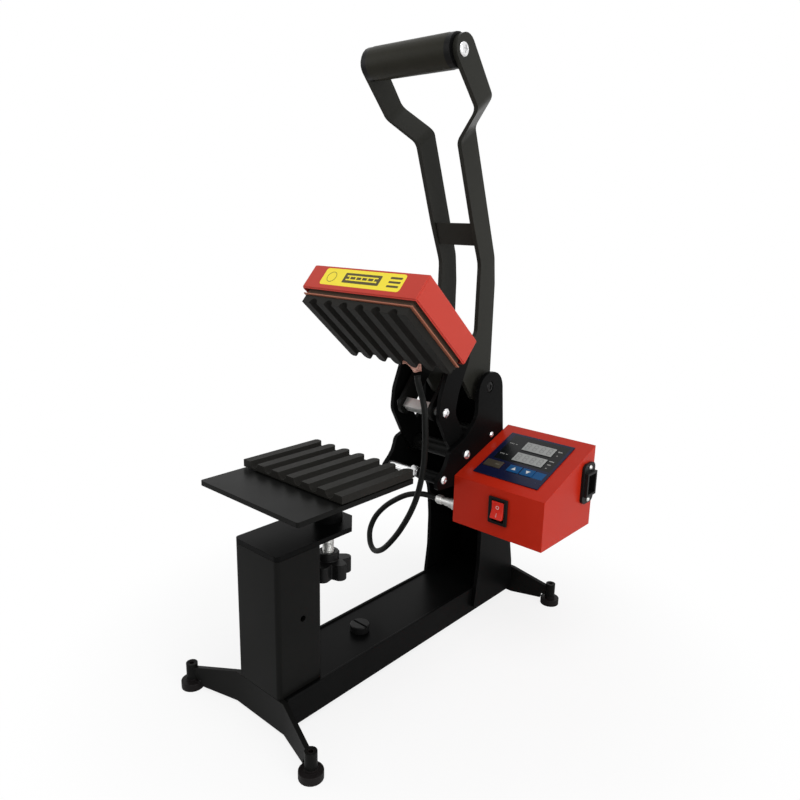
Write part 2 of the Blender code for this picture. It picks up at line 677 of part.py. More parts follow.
def make_base():
    half = CHANNEL_WIDTH * HALF
    inner = half - CHANNEL_WALL
    deck_bottom = deck_top - CHANNEL_WALL
    plug_hole = Piece("plug_hole", machine).rod(
        (0, PLUG_Y, deck_bottom - OVERRUN), (0, PLUG_Y, deck_top + OVERRUN), PLUG_STEM_RADIUS + GAP)
    channel = Piece("base_channel", machine, "black_coat").box(
        (-half + CHANNEL_WALL * HALF, channel_front, deck_bottom),
        (half - CHANNEL_WALL * HALF, CHANNEL_BACK, deck_top))
    for word, left in (("left", -half), ("right", inner)):
        flange = Piece("channel_flange_" + word, machine).box(
            (left, channel_front, CHANNEL_BOTTOM), (left + CHANNEL_WALL, CHANNEL_BACK, channel_top))
        channel.cut(flange, "UNION")
    channel.cut(plug_hole).done()

    rim = deck_top + PLUG_HEIGHT
    slot = Piece("plug_slot", machine).box(
        (-PLUG_RADIUS - OVERRUN, PLUG_Y - PLUG_SLOT_WIDTH * HALF, rim - PLUG_SLOT_DEPTH),
        (PLUG_RADIUS + OVERRUN, PLUG_Y + PLUG_SLOT_WIDTH * HALF, rim + OVERRUN))
    Piece("base_plug", machine, "black_plastic").turned(
        [(0, rim), (PLUG_RADIUS - GAP - GAP, rim), (PLUG_RADIUS, rim - GAP - GAP),
         (PLUG_RADIUS, deck_top + GAP), (PLUG_STEM_RADIUS, deck_top + GAP),
         (PLUG_STEM_RADIUS, deck_bottom), (0, deck_bottom)],
        (0, PLUG_Y, 0), (0, 0, 1)).cut(slot).done()


def make_foot_bar(name, front_y, centre_half, span, foot_y, height, tip_height):
    """A bent strip, upright, tapering to a bored sleeve at each end."""
    middle_y = front_y + FOOT_BAR_THICKNESS * HALF
    outline = [
        (FOOT_BAR_BOTTOM, -centre_half), (FOOT_BAR_BOTTOM, centre_half), (LEG_TIP_BOTTOM, span),
        (LEG_TIP_BOTTOM + tip_height, span), (FOOT_BAR_BOTTOM + height, centre_half),
        (FOOT_BAR_BOTTOM + height, -centre_half), (LEG_TIP_BOTTOM + tip_height, -span),
        (LEG_TIP_BOTTOM, -span),
    ]
    bar = Piece(name, machine, "black_coat").plate(
        [outline], ALONG_Y, front_y, front_y + FOOT_BAR_THICKNESS)
    shift = Vector((0, foot_y - middle_y, 0))
    for side in (1, -1):
        bar.bend(Vector((side * centre_half, 0, 0)), Vector((side * span, 0, 0)), shift)
    sleeves = Piece(name + "_sleeves", machine)
    bores = Piece(name + "_bores", machine)
    room = Piece(name + "_room", machine)
    for side in (1, -1):
        x = side * span
        sleeves.rod((x, foot_y, SLEEVE_BOTTOM), (x, foot_y, SLEEVE_TOP), SLEEVE_RADIUS)
        bores.rod((x, foot_y, -OVERRUN), (x, foot_y, SLEEVE_TOP + OVERRUN), SLEEVE_BORE)
        room.rod((x, foot_y, -OVERRUN), (x, foot_y, SLEEVE_BOTTOM), FOOT_PAD_RADIUS + SLEEVE_CLEARANCE)
    bar.cut(room).cut(sleeves, "UNION").cut(bores).done()


def make_levelling_foot(name, x, y):
    body = Body(name + "_axis", Vector((x, y, 0)), machine)
    shoulder = SLEEVE_BOTTOM - GAP
    Piece(name, body, "rubber").turned(
        [(0, SLEEVE_TOP - GAP), (FOOT_STUD_RADIUS, SLEEVE_TOP - GAP), (FOOT_STUD_RADIUS, shoulder),
         (FOOT_NECK_RADIUS, shoulder), (FOOT_NECK_RADIUS, FOOT_PAD_HEIGHT),
         (FOOT_PAD_RADIUS - GAP, FOOT_PAD_HEIGHT), (FOOT_PAD_RADIUS, FOOT_PAD_HEIGHT - GAP),
         (FOOT_PAD_RADIUS, 0), (0, 0)],
        (x, y, 0), (0, 0, 1)).done()


def make_feet():
    make_foot_bar("front_foot_bar", 0, CHANNEL_WIDTH * HALF, FRONT_FOOT_HALF_SPAN, front_foot_y,
                  deck_top - FOOT_BAR_BOTTOM, FRONT_BAR_TIP_HEIGHT)
    make_foot_bar("rear_foot_bar", CHANNEL_BACK + GAP, FRAME_OUTER_X, REAR_FOOT_HALF_SPAN,
                  rear_foot_y, REAR_BAR_HEIGHT, REAR_BAR_TIP_HEIGHT)
    for side, word in ((-1, "left"), (1, "right")):
        make_levelling_foot("levelling_foot_front_" + word, side * FRONT_FOOT_HALF_SPAN, front_foot_y)
        make_levelling_foot("levelling_foot_rear_" + word, side * REAR_FOOT_HALF_SPAN, rear_foot_y)


def make_post():
    half = POST_WIDTH * HALF
    outer = box_outline(-half, 0, half, POST_DEPTH, POST_CORNER)
    inner = box_outline(-half + POST_WALL, POST_WALL, half - POST_WALL, POST_DEPTH - POST_WALL,
                        POST_CORNER - POST_WALL)
    hole_z = post_bottom + POST_HOLE_HEIGHT
    cross_hole = Piece("post_cross_hole", machine).rod(
        (-half - OVERRUN, POST_HOLE_Y, hole_z), (half + OVERRUN, POST_HOLE_Y, hole_z), POST_HOLE_RADIUS)
    Piece("front_post", machine, "black_coat").plate(
        [outer, inner], ALONG_Z, post_bottom, post_top).cut(cross_hole).done()

    cap = rounded([
        (-half, 0, POST_CORNER), (half, 0, POST_CORNER), (half, CAP_BACK - CAP_CHAMFER, 0),
        (half - CAP_CHAMFER, CAP_BACK, 0), (-half + CAP_CHAMFER, CAP_BACK, 0),
        (-half, CAP_BACK - CAP_CHAMFER, 0),
    ])
    nut = Piece("lift_nut", machine).rod(
        (0, SCREW_Y, cap_bottom - LIFT_NUT_HEIGHT), (0, SCREW_Y, cap_bottom + CAP_THICKNESS * HALF),
        LIFT_NUT_RADIUS, 6)
    collar = Piece("guide_collar", machine).rod(
        (0, SCREW_Y, cap_bottom + CAP_THICKNESS * HALF), (0, SCREW_Y, cap_top + COLLAR_HEIGHT),
        COLLAR_RADIUS)
    bore = BOSS_SIZE * HALF + BOSS_CLEARANCE
    collar_bore = Piece("collar_bore", machine).box(
        (-bore, SCREW_Y - bore, cap_top), (bore, SCREW_Y + bore, cap_top + COLLAR_HEIGHT + OVERRUN))
    screw_hole = Piece("screw_hole", machine).rod(
        (0, SCREW_Y, cap_bottom - LIFT_NUT_HEIGHT - OVERRUN), (0, SCREW_Y, cap_top + OVERRUN),
        SCREW_RADIUS + SCREW_CLEARANCE)
    Piece("post_cap_plate", machine, "black_coat").plate(
        [cap], ALONG_Z, cap_bottom, cap_top,
    ).cut(nut, "UNION").cut(collar, "UNION").cut(collar_bore).cut(screw_hole).done()


def bed_screw_places():
    """The two screws that hold the mould down, on its middle row between grooves."""
    y = MOULD_FRONT + MOULD_LENGTH * BED_SCREW_ROW_SHARE
    x = (GROOVE_COUNT - 2) * HALF * GROOVE_PITCH
    yield "left", -x, y
    yield "right", x, y


def screw_holes(name, bottom, top):
    holes = Piece(name, bed)
    for word, x, y in bed_screw_places():
        holes.rod((x, y, bottom), (x, y, top), BED_SCREW_RADIUS + GAP, SMALL_SIDES)
    return holes


def make_bed():
    half = BED_WIDTH * HALF
    boss_half = BOSS_SIZE * HALF
    boss_bottom = cap_top + BOSS_LIFT_ROOM
    flange = Piece("boss_flange", bed).rod(
        (0, SCREW_Y, flange_bottom), (0, SCREW_Y, bed_bottom + BED_THICKNESS * HALF), COLLAR_RADIUS)
    stem = Piece("boss_stem", bed).box(
        (-boss_half, SCREW_Y - boss_half, boss_bottom),
        (boss_half, SCREW_Y + boss_half, flange_bottom + OVERRUN))
    tip_hole = Piece("boss_bore", bed).rod(
        (0, SCREW_Y, boss_bottom - OVERRUN), (0, SCREW_Y, flange_bottom), SCREW_RADIUS + SCREW_CLEARANCE)
    Piece("bed_plate", bed, "black_coat").plate(
        [box_outline(-half, BED_FRONT, half, BED_BACK, BED_CORNER)], ALONG_Z, bed_bottom, bed_top,
    ).cut(flange, "UNION").cut(stem, "UNION").cut(tip_hole).cut(
        screw_holes("bed_holes", bed_bottom - OVERRUN, bed_top + OVERRUN)).done()

    Piece("mould_spacer", bed, "silicone").box(
        (-half + SPACER_MARGIN, MOULD_FRONT + SPACER_SETBACK, bed_top + GAP),
        (half - SPACER_MARGIN, mould_back - SPACER_MARGIN, mould_bottom - GAP),
    ).cut(screw_holes("spacer_holes", bed_top, mould_bottom)).done()

    head_top = bed_bottom - GAP
    tip = mould_bottom + BED_SCREW_BITE
    for word, x, y in bed_screw_places():
        Piece("bed_screw_" + word, bed, "zinc").turned(
            [(0, tip), (BED_SCREW_RADIUS, tip), (BED_SCREW_RADIUS, head_top),
             (BED_SCREW_HEAD_RADIUS, head_top), (BED_SCREW_HEAD_RADIUS, head_top - BED_SCREW_HEAD_HEIGHT),
             (0, head_top - BED_SCREW_HEAD_HEIGHT)],
            (x, y, 0), (0, 0, 1), SMALL_SIDES).done()


def groove_xs():
    return [(i - (GROOVE_COUNT - 1) * HALF) * GROOVE_PITCH for i in range(GROOVE_COUNT)]


def mould_section(face, back_face):
    """Cross-section in (z, x): flat back, and a face with half-round grooves let into it."""
    inward = math.copysign(1, back_face - face)
    half = mould_width * HALF
    points = [Vector((back_face, -half)), Vector((face, -half))]
    for x in groove_xs():
        for step in range(GROOVE_STEPS + 1):
            turn = math.pi * step / GROOVE_STEPS
            points.append(Vector((
                face + inward * GROOVE_RADIUS * math.sin(turn), x - GROOVE_RADIUS * math.cos(turn))))
    points += [Vector((face, half)), Vector((back_face, half))]
    return points


def land_end_outline():
    """Plan of what rounds the lands' back ends: their gaps, and a chamfer at each side."""
    land = (GROOVE_PITCH - GROOVE_RADIUS - GROOVE_RADIUS) * HALF
    half = mould_width * HALF
    start_y = mould_back - land
    points = [Vector((-half - OVERRUN, mould_back + OVERRUN)),
              Vector((-half - OVERRUN, mould_back - LAND_CHAMFER - OVERRUN)),
              Vector((-half + LAND_CHAMFER, mould_back))]
    for x in groove_xs():
        left, right = x - GROOVE_PITCH * HALF, x + GROOVE_PITCH * HALF
        for step in range(CORNER_STEPS + 1):
            turn = math.radians(90) * (1 - step / CORNER_STEPS)
            points.append(Vector((left + land * math.cos(turn), start_y + land * math.sin(turn))))
        for step in range(CORNER_STEPS + 1):
            turn = math.radians(180) - math.radians(90) * step / CORNER_STEPS
            points.append(Vector((right + land * math.cos(turn), start_y + land * math.sin(turn))))
    points += [Vector((half - LAND_CHAMFER, mould_back)),
               Vector((half + OVERRUN, mould_back - LAND_CHAMFER - OVERRUN)),
               Vector((half + OVERRUN, mould_back + OVERRUN))]
    clean = [points[0]]
    for point in points[1:]:
        if (point - clean[-1]).length > GAP * GAP / MM:
            clean.append(point)
    return clean


def make_mould(name, body, face, back_face):
    inward = math.copysign(1, back_face - face)
    depth_end = face + inward * GROOVE_RADIUS
    low, high = sorted((face - inward * OVERRUN, depth_end))
    ends = Piece(name + "_land_ends", body).plate([land_end_outline()], ALONG_Z, low, high)
    mould = Piece(name, body, "mould_coat").plate(
        [mould_section(face, back_face)], ALONG_Y, MOULD_FRONT, mould_back).cut(ends)
    return mould


def make_moulds():
    lower = make_mould("lower_mould", bed, mould_top, mould_bottom)
    lower.cut(screw_holes("mould_holes", mould_bottom - OVERRUN, mould_bottom + BED_SCREW_BITE + GAP))
    lower.done()
    make_mould("upper_mould", arm, land_bottom, upper_mould_top).done()


def make_lift():
    tip = flange_bottom - SCREW_TIP_ROOM
    knob_top = cap_bottom - KNOB_DROP
    hub_bottom = knob_top - KNOB_HUB_HEIGHT
    knob_bottom = hub_bottom - KNOB_HEIGHT
    Piece("lift_screw", knob, "zinc").rod(
        (0, SCREW_Y, hub_bottom - KNOB_HEIGHT * HALF), (0, SCREW_Y, tip), SCREW_RADIUS).done()

    outline = []
    for lobe in range(KNOB_LOBES):
        lobe_turn = math.tau * lobe / KNOB_LOBES
        centre = polar(lobe_turn, KNOB_RADIUS - KNOB_LOBE_RADIUS)
        for step in range(-3, 4):
            outline.append(centre + polar(lobe_turn + math.radians(30) * step, KNOB_LOBE_RADIUS))
        outline.append(polar(lobe_turn + math.pi / KNOB_LOBES, KNOB_RADIUS * KNOB_WAIST_SHARE))
    hub = Piece("knob_hub", knob).rod(
        (0, SCREW_Y, hub_bottom - OVERRUN), (0, SCREW_Y, knob_top), KNOB_HUB_RADIUS)
    bore = Piece("knob_bore", knob).rod(
        (0, SCREW_Y, hub_bottom - KNOB_HEIGHT * HALF - GAP), (0, SCREW_Y, knob_top + OVERRUN),
        SCREW_RADIUS + GAP)
    shifted = [(point.x, point.y + SCREW_Y) for point in outline]
    Piece("star_knob", knob, "black_plastic").plate(
        [shifted], ALONG_Z, knob_bottom, hub_bottom).cut(hub, "UNION").cut(bore).done()


def frame_outline():
    unit_z = arm_pivot.z - FRAME_BOTTOM
    return rounded([
        (arm_pivot.y + y * COLUMN_DEPTH, FRAME_BOTTOM + z * unit_z, r * COLUMN_DEPTH)
        for y, z, r in FRAME_OUTLINE_SHARES
    ])


def mount_screw_places():
    for y_share, z_share in MOUNT_SCREW_SHARES:
        yield box_front + BOX_DEPTH * y_share, box_bottom + BOX_FRONT_HEIGHT * z_share


def make_frame():
    bolt_hole = BOLT_RADIUS + BOLT_CLEARANCE
    holes = [
        circle(arm_pivot.y, arm_pivot.z, bolt_hole, SMALL_SIDES),
        circle(tie_place.y, tie_place.z, TIE_BOLT_RADIUS + BOLT_CLEARANCE, SMALL_SIDES),
        circle(nose_place.y, nose_place.z, bolt_hole, SMALL_SIDES),
        circle(handle_pivot.y, handle_pivot.z, HANDLE_SHAFT_RADIUS + GAP),
    ]
    mount_holes = [
        circle(y, z, MOUNT_SCREW_RADIUS + GAP, SMALL_SIDES) for y, z in mount_screw_places()]
    Piece("frame_plate_left", machine, "black_coat").plate(
        [frame_outline()] + holes, ALONG_X, -FRAME_OUTER_X, -frame_inner_x).done()
    Piece("frame_plate_right", machine, "black_coat").plate(
        [frame_outline()] + holes + mount_holes, ALONG_X, frame_inner_x, FRAME_OUTER_X).done()

    bolt = (frame_inner_x, FRAME_OUTER_X)
    head = (BOLT_RADIUS, BOLT_HEAD_RADIUS, BOLT_HEAD_HEIGHT)
    through_bolt(Piece("arm_shaft", machine, "chrome"), arm_pivot, *bolt, ARM_SHAFT_RADIUS, *head).done()
    through_bolt(
        Piece("tie_bolt", machine, "chrome"), tie_place, *bolt, TIE_BOLT_RADIUS, TIE_BOLT_RADIUS,
        TIE_HEAD_RADIUS, TIE_HEAD_HEIGHT).done()
    nut_left, nut_right = (share * rod_reach for share in NOSE_NUT_SHARES)
    nut = Piece("nose_nut", machine).rod(
        (nut_left, nose_place.y, nose_place.z), (nut_right, nose_place.y, nose_place.z),
        NOSE_NUT_RADIUS, 6)
    through_bolt(
        Piece("nose_bolt", machine, "chrome"), nose_place, *bolt, BOLT_RADIUS, *head,
    ).cut(nut, "UNION").done()
    shaft_reach = FRAME_OUTER_X - GAP - GAP
    Piece("handle_shaft", machine, "black_coat").rod(
        (-shaft_reach, handle_pivot.y, handle_pivot.z), (shaft_reach, handle_pivot.y, handle_pivot.z),
        HANDLE_SHAFT_RADIUS).done()

    sleeve_start = NOSE_SLEEVE_START_SHARE * rod_reach
    for name, place, start, bore in (
            ("tie_spacer", tie_place, -rod_reach, TIE_BOLT_RADIUS + GAP),
            ("nose_sleeve", nose_place, sleeve_start, BOLT_RADIUS + GAP)):
        Piece(name, machine, "black_coat").plate(
            [circle(place.y, place.z, SPACER_TUBE_RADIUS), circle(place.y, place.z, bore)],
            ALONG_X, start, rod_reach).done()
    make_back_plate()


def make_back_plate():
    """The plate that closes the column's back, with a foot between the channel's rims."""
    unit_z = arm_pivot.z - FRAME_BOTTOM
    rear = [
        (arm_pivot.y + y * COLUMN_DEPTH, FRAME_BOTTOM + z * unit_z) for y, z in BACK_PLATE_SHARES]
    rear[0] = (rear[0][0], channel_top + GAP)
    front = [(y - BACK_PLATE_THICKNESS, z) for y, z in reversed(rear)]
    foot_y = rear[0][0]
    foot_reach = rod_reach - CHANNEL_WALL - GAP
    foot = Piece("back_plate_foot", machine).box(
        (-foot_reach, foot_y - BACK_PLATE_THICKNESS, deck_top + GAP),
        (foot_reach, foot_y, channel_top + BACK_PLATE_THICKNESS))
    Piece("frame_back_plate", machine, "black_coat").plate(
        [rear + front], ALONG_X, -rod_reach, rod_reach).cut(foot, "UNION").done()


def arm_outline():
    return rounded([
        (arm_pivot.y - y * reach, arm_pivot.z + z * arm_rise, r * reach)
        for table, reach in ((ARM_BACK_SHARES, LINK_PIVOT_FORWARD), (ARM_NOSE_SHARES, arm_reach),
                             (ARM_FRONT_SHARES, LINK_PIVOT_FORWARD))
        for y, z, r in table
    ])


def make_arm():
    holes = [
        circle(arm_pivot.y, arm_pivot.z, ARM_SHAFT_RADIUS + GAP),
        circle(link_pivot_closed.y, link_pivot_closed.z, BOLT_RADIUS + BOLT_CLEARANCE, SMALL_SIDES),
    ]
    for word, start in (("left", -ARM_OUTER_X), ("right", arm_inner_x)):
        Piece("arm_plate_" + word, arm, "black_coat").plate(
            [arm_outline()] + holes, ALONG_X, start, start + ARM_THICKNESS).done()

    bush = arm_inner_x - GAP
    Piece("arm_bush", arm, "black_coat").plate(
        [circle(arm_pivot.y, arm_pivot.z, ARM_BUSH_RADIUS),
         circle(arm_pivot.y, arm_pivot.z, ARM_SHAFT_RADIUS + GAP)], ALONG_X, -bush, bush).done()

    half = LINK_BAR_SIZE * HALF
    square_reach = link_inner_x - GAP
    centre = link_pivot_closed
    square = Piece("link_bar_square", arm).box(
        (-square_reach, centre.y - half, centre.z - half),
        (square_reach, centre.y + half, centre.z + half))
    through_bolt(
        Piece("link_bar", arm, "zinc"), centre, arm_inner_x, ARM_OUTER_X, LINK_BAR_RADIUS, BOLT_RADIUS,
        BOLT_HEAD_RADIUS, BOLT_HEAD_HEIGHT,
    ).cut(square, "UNION").done()

    bracket_back = cover_back - BRACKET_SETBACK
    Piece("platen_bracket", arm, "black_coat").box(
        (-bush, bracket_back - BRACKET_LENGTH, cover_top + GAP),
        (bush, bracket_back, cover_top + GAP + BRACKET_THICKNESS)).done()


def make_platen():
    half = COVER_WIDTH * HALF
    inside = Piece("cover_inside", arm).box(
        (-half + COVER_WALL, COVER_FRONT + COVER_WALL, cover_bottom - OVERRUN),
        (half - COVER_WALL, cover_back - COVER_WALL, cover_top - COVER_WALL))
    cover = Piece("platen_cover", arm, "red_coat").box(
        (-half, COVER_FRONT, cover_bottom), (half, cover_back, cover_top))
    edges = [edge for edge in cover.shape.edges]
    bmesh.ops.bevel(cover.shape, geom=edges, offset=COVER_EDGE, segments=2, affect="EDGES")
    cover.cut(inside).done()

    pad_half = mould_width * HALF + HEATER_MARGIN
    pad_front = MOULD_FRONT - HEATER_MARGIN * HALF
    Piece("insulation_block", arm, "insulation").box(
        (-mould_width * HALF, MOULD_FRONT, heater_top + GAP),
        (mould_width * HALF, mould_back - COVER_WALL, cover_top - COVER_WALL - GAP)).done()

    tab_top = heater_top
    tab = Piece("heater_tab", arm).plate(
        [[(mould_back - OVERRUN, tab_top), (mould_back - OVERRUN, heater_bottom),
          (mould_back + GAP, heater_bottom),
          (mould_back + GAP, heater_bottom - TAB_THICKNESS * HALF),
          (mould_back + TAB_REACH - TAB_THICKNESS * HALF, heater_top - TAB_DROP - TAB_THICKNESS * HALF),
          (mould_back + TAB_REACH, heater_top - TAB_DROP + GAP),
          (mould_back + TAB_THICKNESS * HALF, tab_top)][::-1]],
        ALONG_X, TAB_LEFT, TAB_RIGHT)
    Piece("heater_pad", arm, "heater").box(
        (-pad_half, pad_front, heater_bottom), (pad_half, mould_back, heater_top),
    ).cut(tab, "UNION").done()


def capsule(start, end, radius):
    """Outline round two pivots."""
    along = (end - start).normalized()
    first = math.atan2(along.z, along.y)
    points = []
    for centre, base in ((start, first + math.radians(90)), (end, first - math.radians(90))):
        for step in range(ROUND_SIDES // 2 + 1):
            turn = base + math.pi * step / (ROUND_SIDES // 2)
            points.append(Vector((centre.y, centre.z)) + polar(turn, radius))
    return points


def make_links():
    outlines = [
        capsule(link_pivot, crank_pin, LINK_EYE_RADIUS),
        circle(link_pivot.y, link_pivot.z, LINK_BAR_RADIUS + GAP),
        circle(crank_pin.y, crank_pin.z, CRANK_PIN_RADIUS + LINK_PIN_PLAY),
    ]
    for word, start in (("left", -LINK_OUTER_X), ("right", link_inner_x)):
        Piece("link_" + word, links, "black_coat").plate(
            outlines, ALONG_X, start, start + LINK_THICKNESS).done()


def handle_point(y_share, z_share, reach=HANDLE_LEAN, length=HANDLE_LENGTH):
    """A place forward of the handle pivot by shares of a reach, and above it by shares of a length."""
    return Vector((0, handle_pivot.y - y_share * reach, handle_pivot.z + z_share * length))


def make_handle():
    corners = []
    upper = (HANDLE_LEAN, HANDLE_LENGTH)
    for table, (reach, length) in ((HANDLE_BACK_SHARES, upper),
                                   (CRANK_LOBE_SHARES, (CRANK_LENGTH, CRANK_LENGTH)),
                                   (HANDLE_FRONT_SHARES, upper)):
        for y, z, r in table:
            place = handle_point(y, z, reach, length)
            corners.append((place.y, place.z, r * reach))
    outlines = [
        rounded(corners),
        circle(handle_pivot.y, handle_pivot.z, HANDLE_SHAFT_RADIUS + GAP),
        circle(crank_pin.y, crank_pin.z, CRANK_PIN_RADIUS + GAP),
        circle(grip_centre.y, grip_centre.z, GRIP_SCREW_RADIUS + GAP, SMALL_SIDES),
    ]
    for word in ("right", "left"):
        plate = Piece("handle_arm_" + word, handle, "black_coat").plate(
            outlines, ALONG_X, handle_inner_x, HANDLE_OUTER_X)
        plate.bend(handle_point(*FORK_LOWER_SHARE), handle_point(*FORK_UPPER_SHARE),
                   Vector((FORK_SPREAD, 0, 0)))
        if word == "left":
            plate.mirrored()
        plate.done()

    cross_half = handle_inner_x - GAP
    top, bottom = (handle_point(*shares) for shares in CROSS_PLATE_SHARES)
    back = Vector((0, CROSS_PLATE_THICKNESS, 0))
    Piece("handle_cross_plate", handle, "black_coat").plate(
        [[(place.y, place.z) for place in (top, bottom, bottom + back, top + back)]],
        ALONG_X, -cross_half, cross_half).done()
    Piece("crank_pin", handle, "zinc").rod(
        (-HANDLE_OUTER_X, crank_pin.y, crank_pin.z), (HANDLE_OUTER_X, crank_pin.y, crank_pin.z),
        CRANK_PIN_RADIUS, SMALL_SIDES).done()

    fork_inner = handle_inner_x + FORK_SPREAD
    grip_reach = fork_inner - GAP
    through_bolt(
        Piece("grip_rod", handle, "zinc"), grip_centre, fork_inner, fork_inner + HANDLE_THICKNESS,
        GRIP_ROD_RADIUS, GRIP_SCREW_RADIUS, GRIP_SCREW_HEAD_RADIUS, GRIP_SCREW_HEAD_HEIGHT).done()
    bore = Piece("grip_bore", handle).rod(
        (-grip_reach - OVERRUN, grip_centre.y, grip_centre.z),
        (grip_reach + OVERRUN, grip_centre.y, grip_centre.z), GRIP_ROD_RADIUS + GAP)
    collar = grip_reach - GRIP_COLLAR
    Piece("grip_sleeve", handle, "rubber").turned(
        [(0, grip_reach), (GRIP_END_RADIUS, grip_reach), (GRIP_END_RADIUS, collar),
         (GRIP_RADIUS, collar - OVERRUN), (GRIP_RADIUS, -collar + OVERRUN), (GRIP_END_RADIUS, -collar),
         (GRIP_END_RADIUS, -grip_reach), (0, -grip_reach)],
        grip_centre, (1, 0, 0)).cut(bore).done()


def make_control_box():
    bottom, front, back = box_bottom, box_front, box_back
    outer = [(front, bottom), (back, bottom), (back, bottom + BOX_BACK_HEIGHT),
             (front, bottom + BOX_FRONT_HEIGHT)]
    drop = BOX_WALL / math.cos(slope_angle)
    rise = math.tan(slope_angle)
    inner_front = front + BOX_WALL
    inner_back = back + OVERRUN
    inner = [
        (inner_front, bottom - OVERRUN), (inner_back, bottom - OVERRUN),
        (inner_back, bottom + BOX_BACK_HEIGHT - drop + OVERRUN * rise),
        (inner_front, bottom + BOX_FRONT_HEIGHT - drop + BOX_WALL * rise),
    ]
    inside = Piece("box_inside", machine).plate(
        [inner], ALONG_X, box_left + BOX_WALL, box_right - BOX_WALL)
    socket_hole = Piece("socket_hole", machine).rod(
        socket_place - Vector((OVERRUN, 0, 0)), socket_place + Vector((BOX_WALL + OVERRUN, 0, 0)),
        SOCKET_THREAD_RADIUS + GAP)
    half_w, half_h = SWITCH_BODY_WIDTH * HALF + GAP, SWITCH_BODY_HEIGHT * HALF + GAP
    switch_hole = Piece("switch_hole", machine).box(
        switch_point(-half_w, -OVERRUN, -half_h), switch_point(half_w, BOX_WALL + OVERRUN, half_h))
    half_w, half_h = INLET_BODY_WIDTH * HALF + GAP, INLET_BODY_HEIGHT * HALF + GAP
    inlet_hole = Piece("inlet_hole", machine).box(
        inlet_place + Vector((-BOX_WALL - OVERRUN, -half_w, -half_h)),
        inlet_place + Vector((OVERRUN, half_w, half_h)))
    small_holes = Piece("box_screw_holes", machine)
    for y, z in mount_screw_places():
        small_holes.rod((box_left - OVERRUN, y, z), (box_left + BOX_WALL + OVERRUN, y, z),
                        MOUNT_SCREW_RADIUS + GAP, SMALL_SIDES)
    for place in inlet_screw_places():
        small_holes.rod(place - Vector((BOX_WALL + OVERRUN, 0, 0)), place + Vector((OVERRUN, 0, 0)),
                        BOX_SCREW_RADIUS + GAP, SMALL_SIDES)
    shell = Piece("control_box_shell", machine, "red_coat").plate([outer], ALONG_X, box_left, box_right)
    for hole in (inside, socket_hole, switch_hole, inlet_hole, small_holes):
        shell.cut(hole)
    shell.done()

    floor_top = bottom + BOX_WALL
    lid_front = back - BOX_WALL
    lid_top = bottom + BOX_BACK_HEIGHT - drop - BOX_WALL * rise - GAP
    profile = [
        (inner_front + GAP, bottom), (back, bottom), (back, lid_top), (lid_front, lid_top),
        (lid_front, floor_top), (inner_front + GAP, floor_top),
    ]
    Piece("control_box_base", machine, "red_coat").plate(
        [profile], ALONG_X, box_left + BOX_WALL + GAP, box_right - BOX_WALL - GAP).done()


def switch_point(x, y, z):
    """A place given from the middle of the switch, on the outside of the front wall."""
    return Vector((rocker_pivot.x + x, box_front + y, rocker_pivot.z + z))


def inlet_screw_places():
    reach = INLET_HEIGHT * HALF - BOX_SCREW_HEAD_RADIUS - BOX_WALL
    for side in (1, -1):
        yield inlet_place + Vector((0, 0, side * reach))


def panel_place(across, along, up):
    """A place on the sloping top, drawn level: the panel's empty tilts it."""
    return Vector((box_left + across, box_front + along, box_bottom + BOX_FRONT_HEIGHT + up))


def key_spans():
    yield "set_key", SET_KEY_LEFT, SET_KEY_WIDTH, "brown_key"
    yield "up_key", UP_KEY_LEFT, ARROW_KEY_WIDTH, "blue_key"
    yield "down_key", DOWN_KEY_LEFT, ARROW_KEY_WIDTH, "blue_key"


def make_panel():
    face = GAP + OVERLAY_THICKNESS
    base = panel_place(0, 0, 0)
    holes = []
    for name, left, width, finish in key_spans():
        low = panel_place(left - KEY_CLEARANCE, KEY_SETBACK - KEY_CLEARANCE, 0)
        high = panel_place(left + width + KEY_CLEARANCE, KEY_SETBACK + KEY_HEIGHT + KEY_CLEARANCE, 0)
        holes.append(box_outline(low.x, low.y, high.x, high.y))
        Piece(name, panel, finish).box(
            panel_place(left, KEY_SETBACK, GAP + KEY_TRAVEL),
            panel_place(left + width, KEY_SETBACK + KEY_HEIGHT, GAP + KEY_TRAVEL + KEY_THICKNESS)).done()
    low = panel_place(OVERLAY_LEFT, OVERLAY_SETBACK, 0)
    high = panel_place(OVERLAY_LEFT + OVERLAY_WIDTH, OVERLAY_SETBACK + OVERLAY_LENGTH, 0)
    Piece("panel_overlay", panel, "navy_film").plate(
        [box_outline(low.x, low.y, high.x, high.y)] + holes, ALONG_Z, base.z + GAP, base.z + face).done()
    for word, setback in (("lower", LOWER_WINDOW_SETBACK), ("upper", UPPER_WINDOW_SETBACK)):
        Piece(word + "_display", panel, "window").box(
            panel_place(WINDOW_LEFT, setback, face + GAP),
            panel_place(WINDOW_LEFT + WINDOW_WIDTH, setback + WINDOW_HEIGHT,
                        face + GAP + OVERLAY_THICKNESS * HALF)).done()


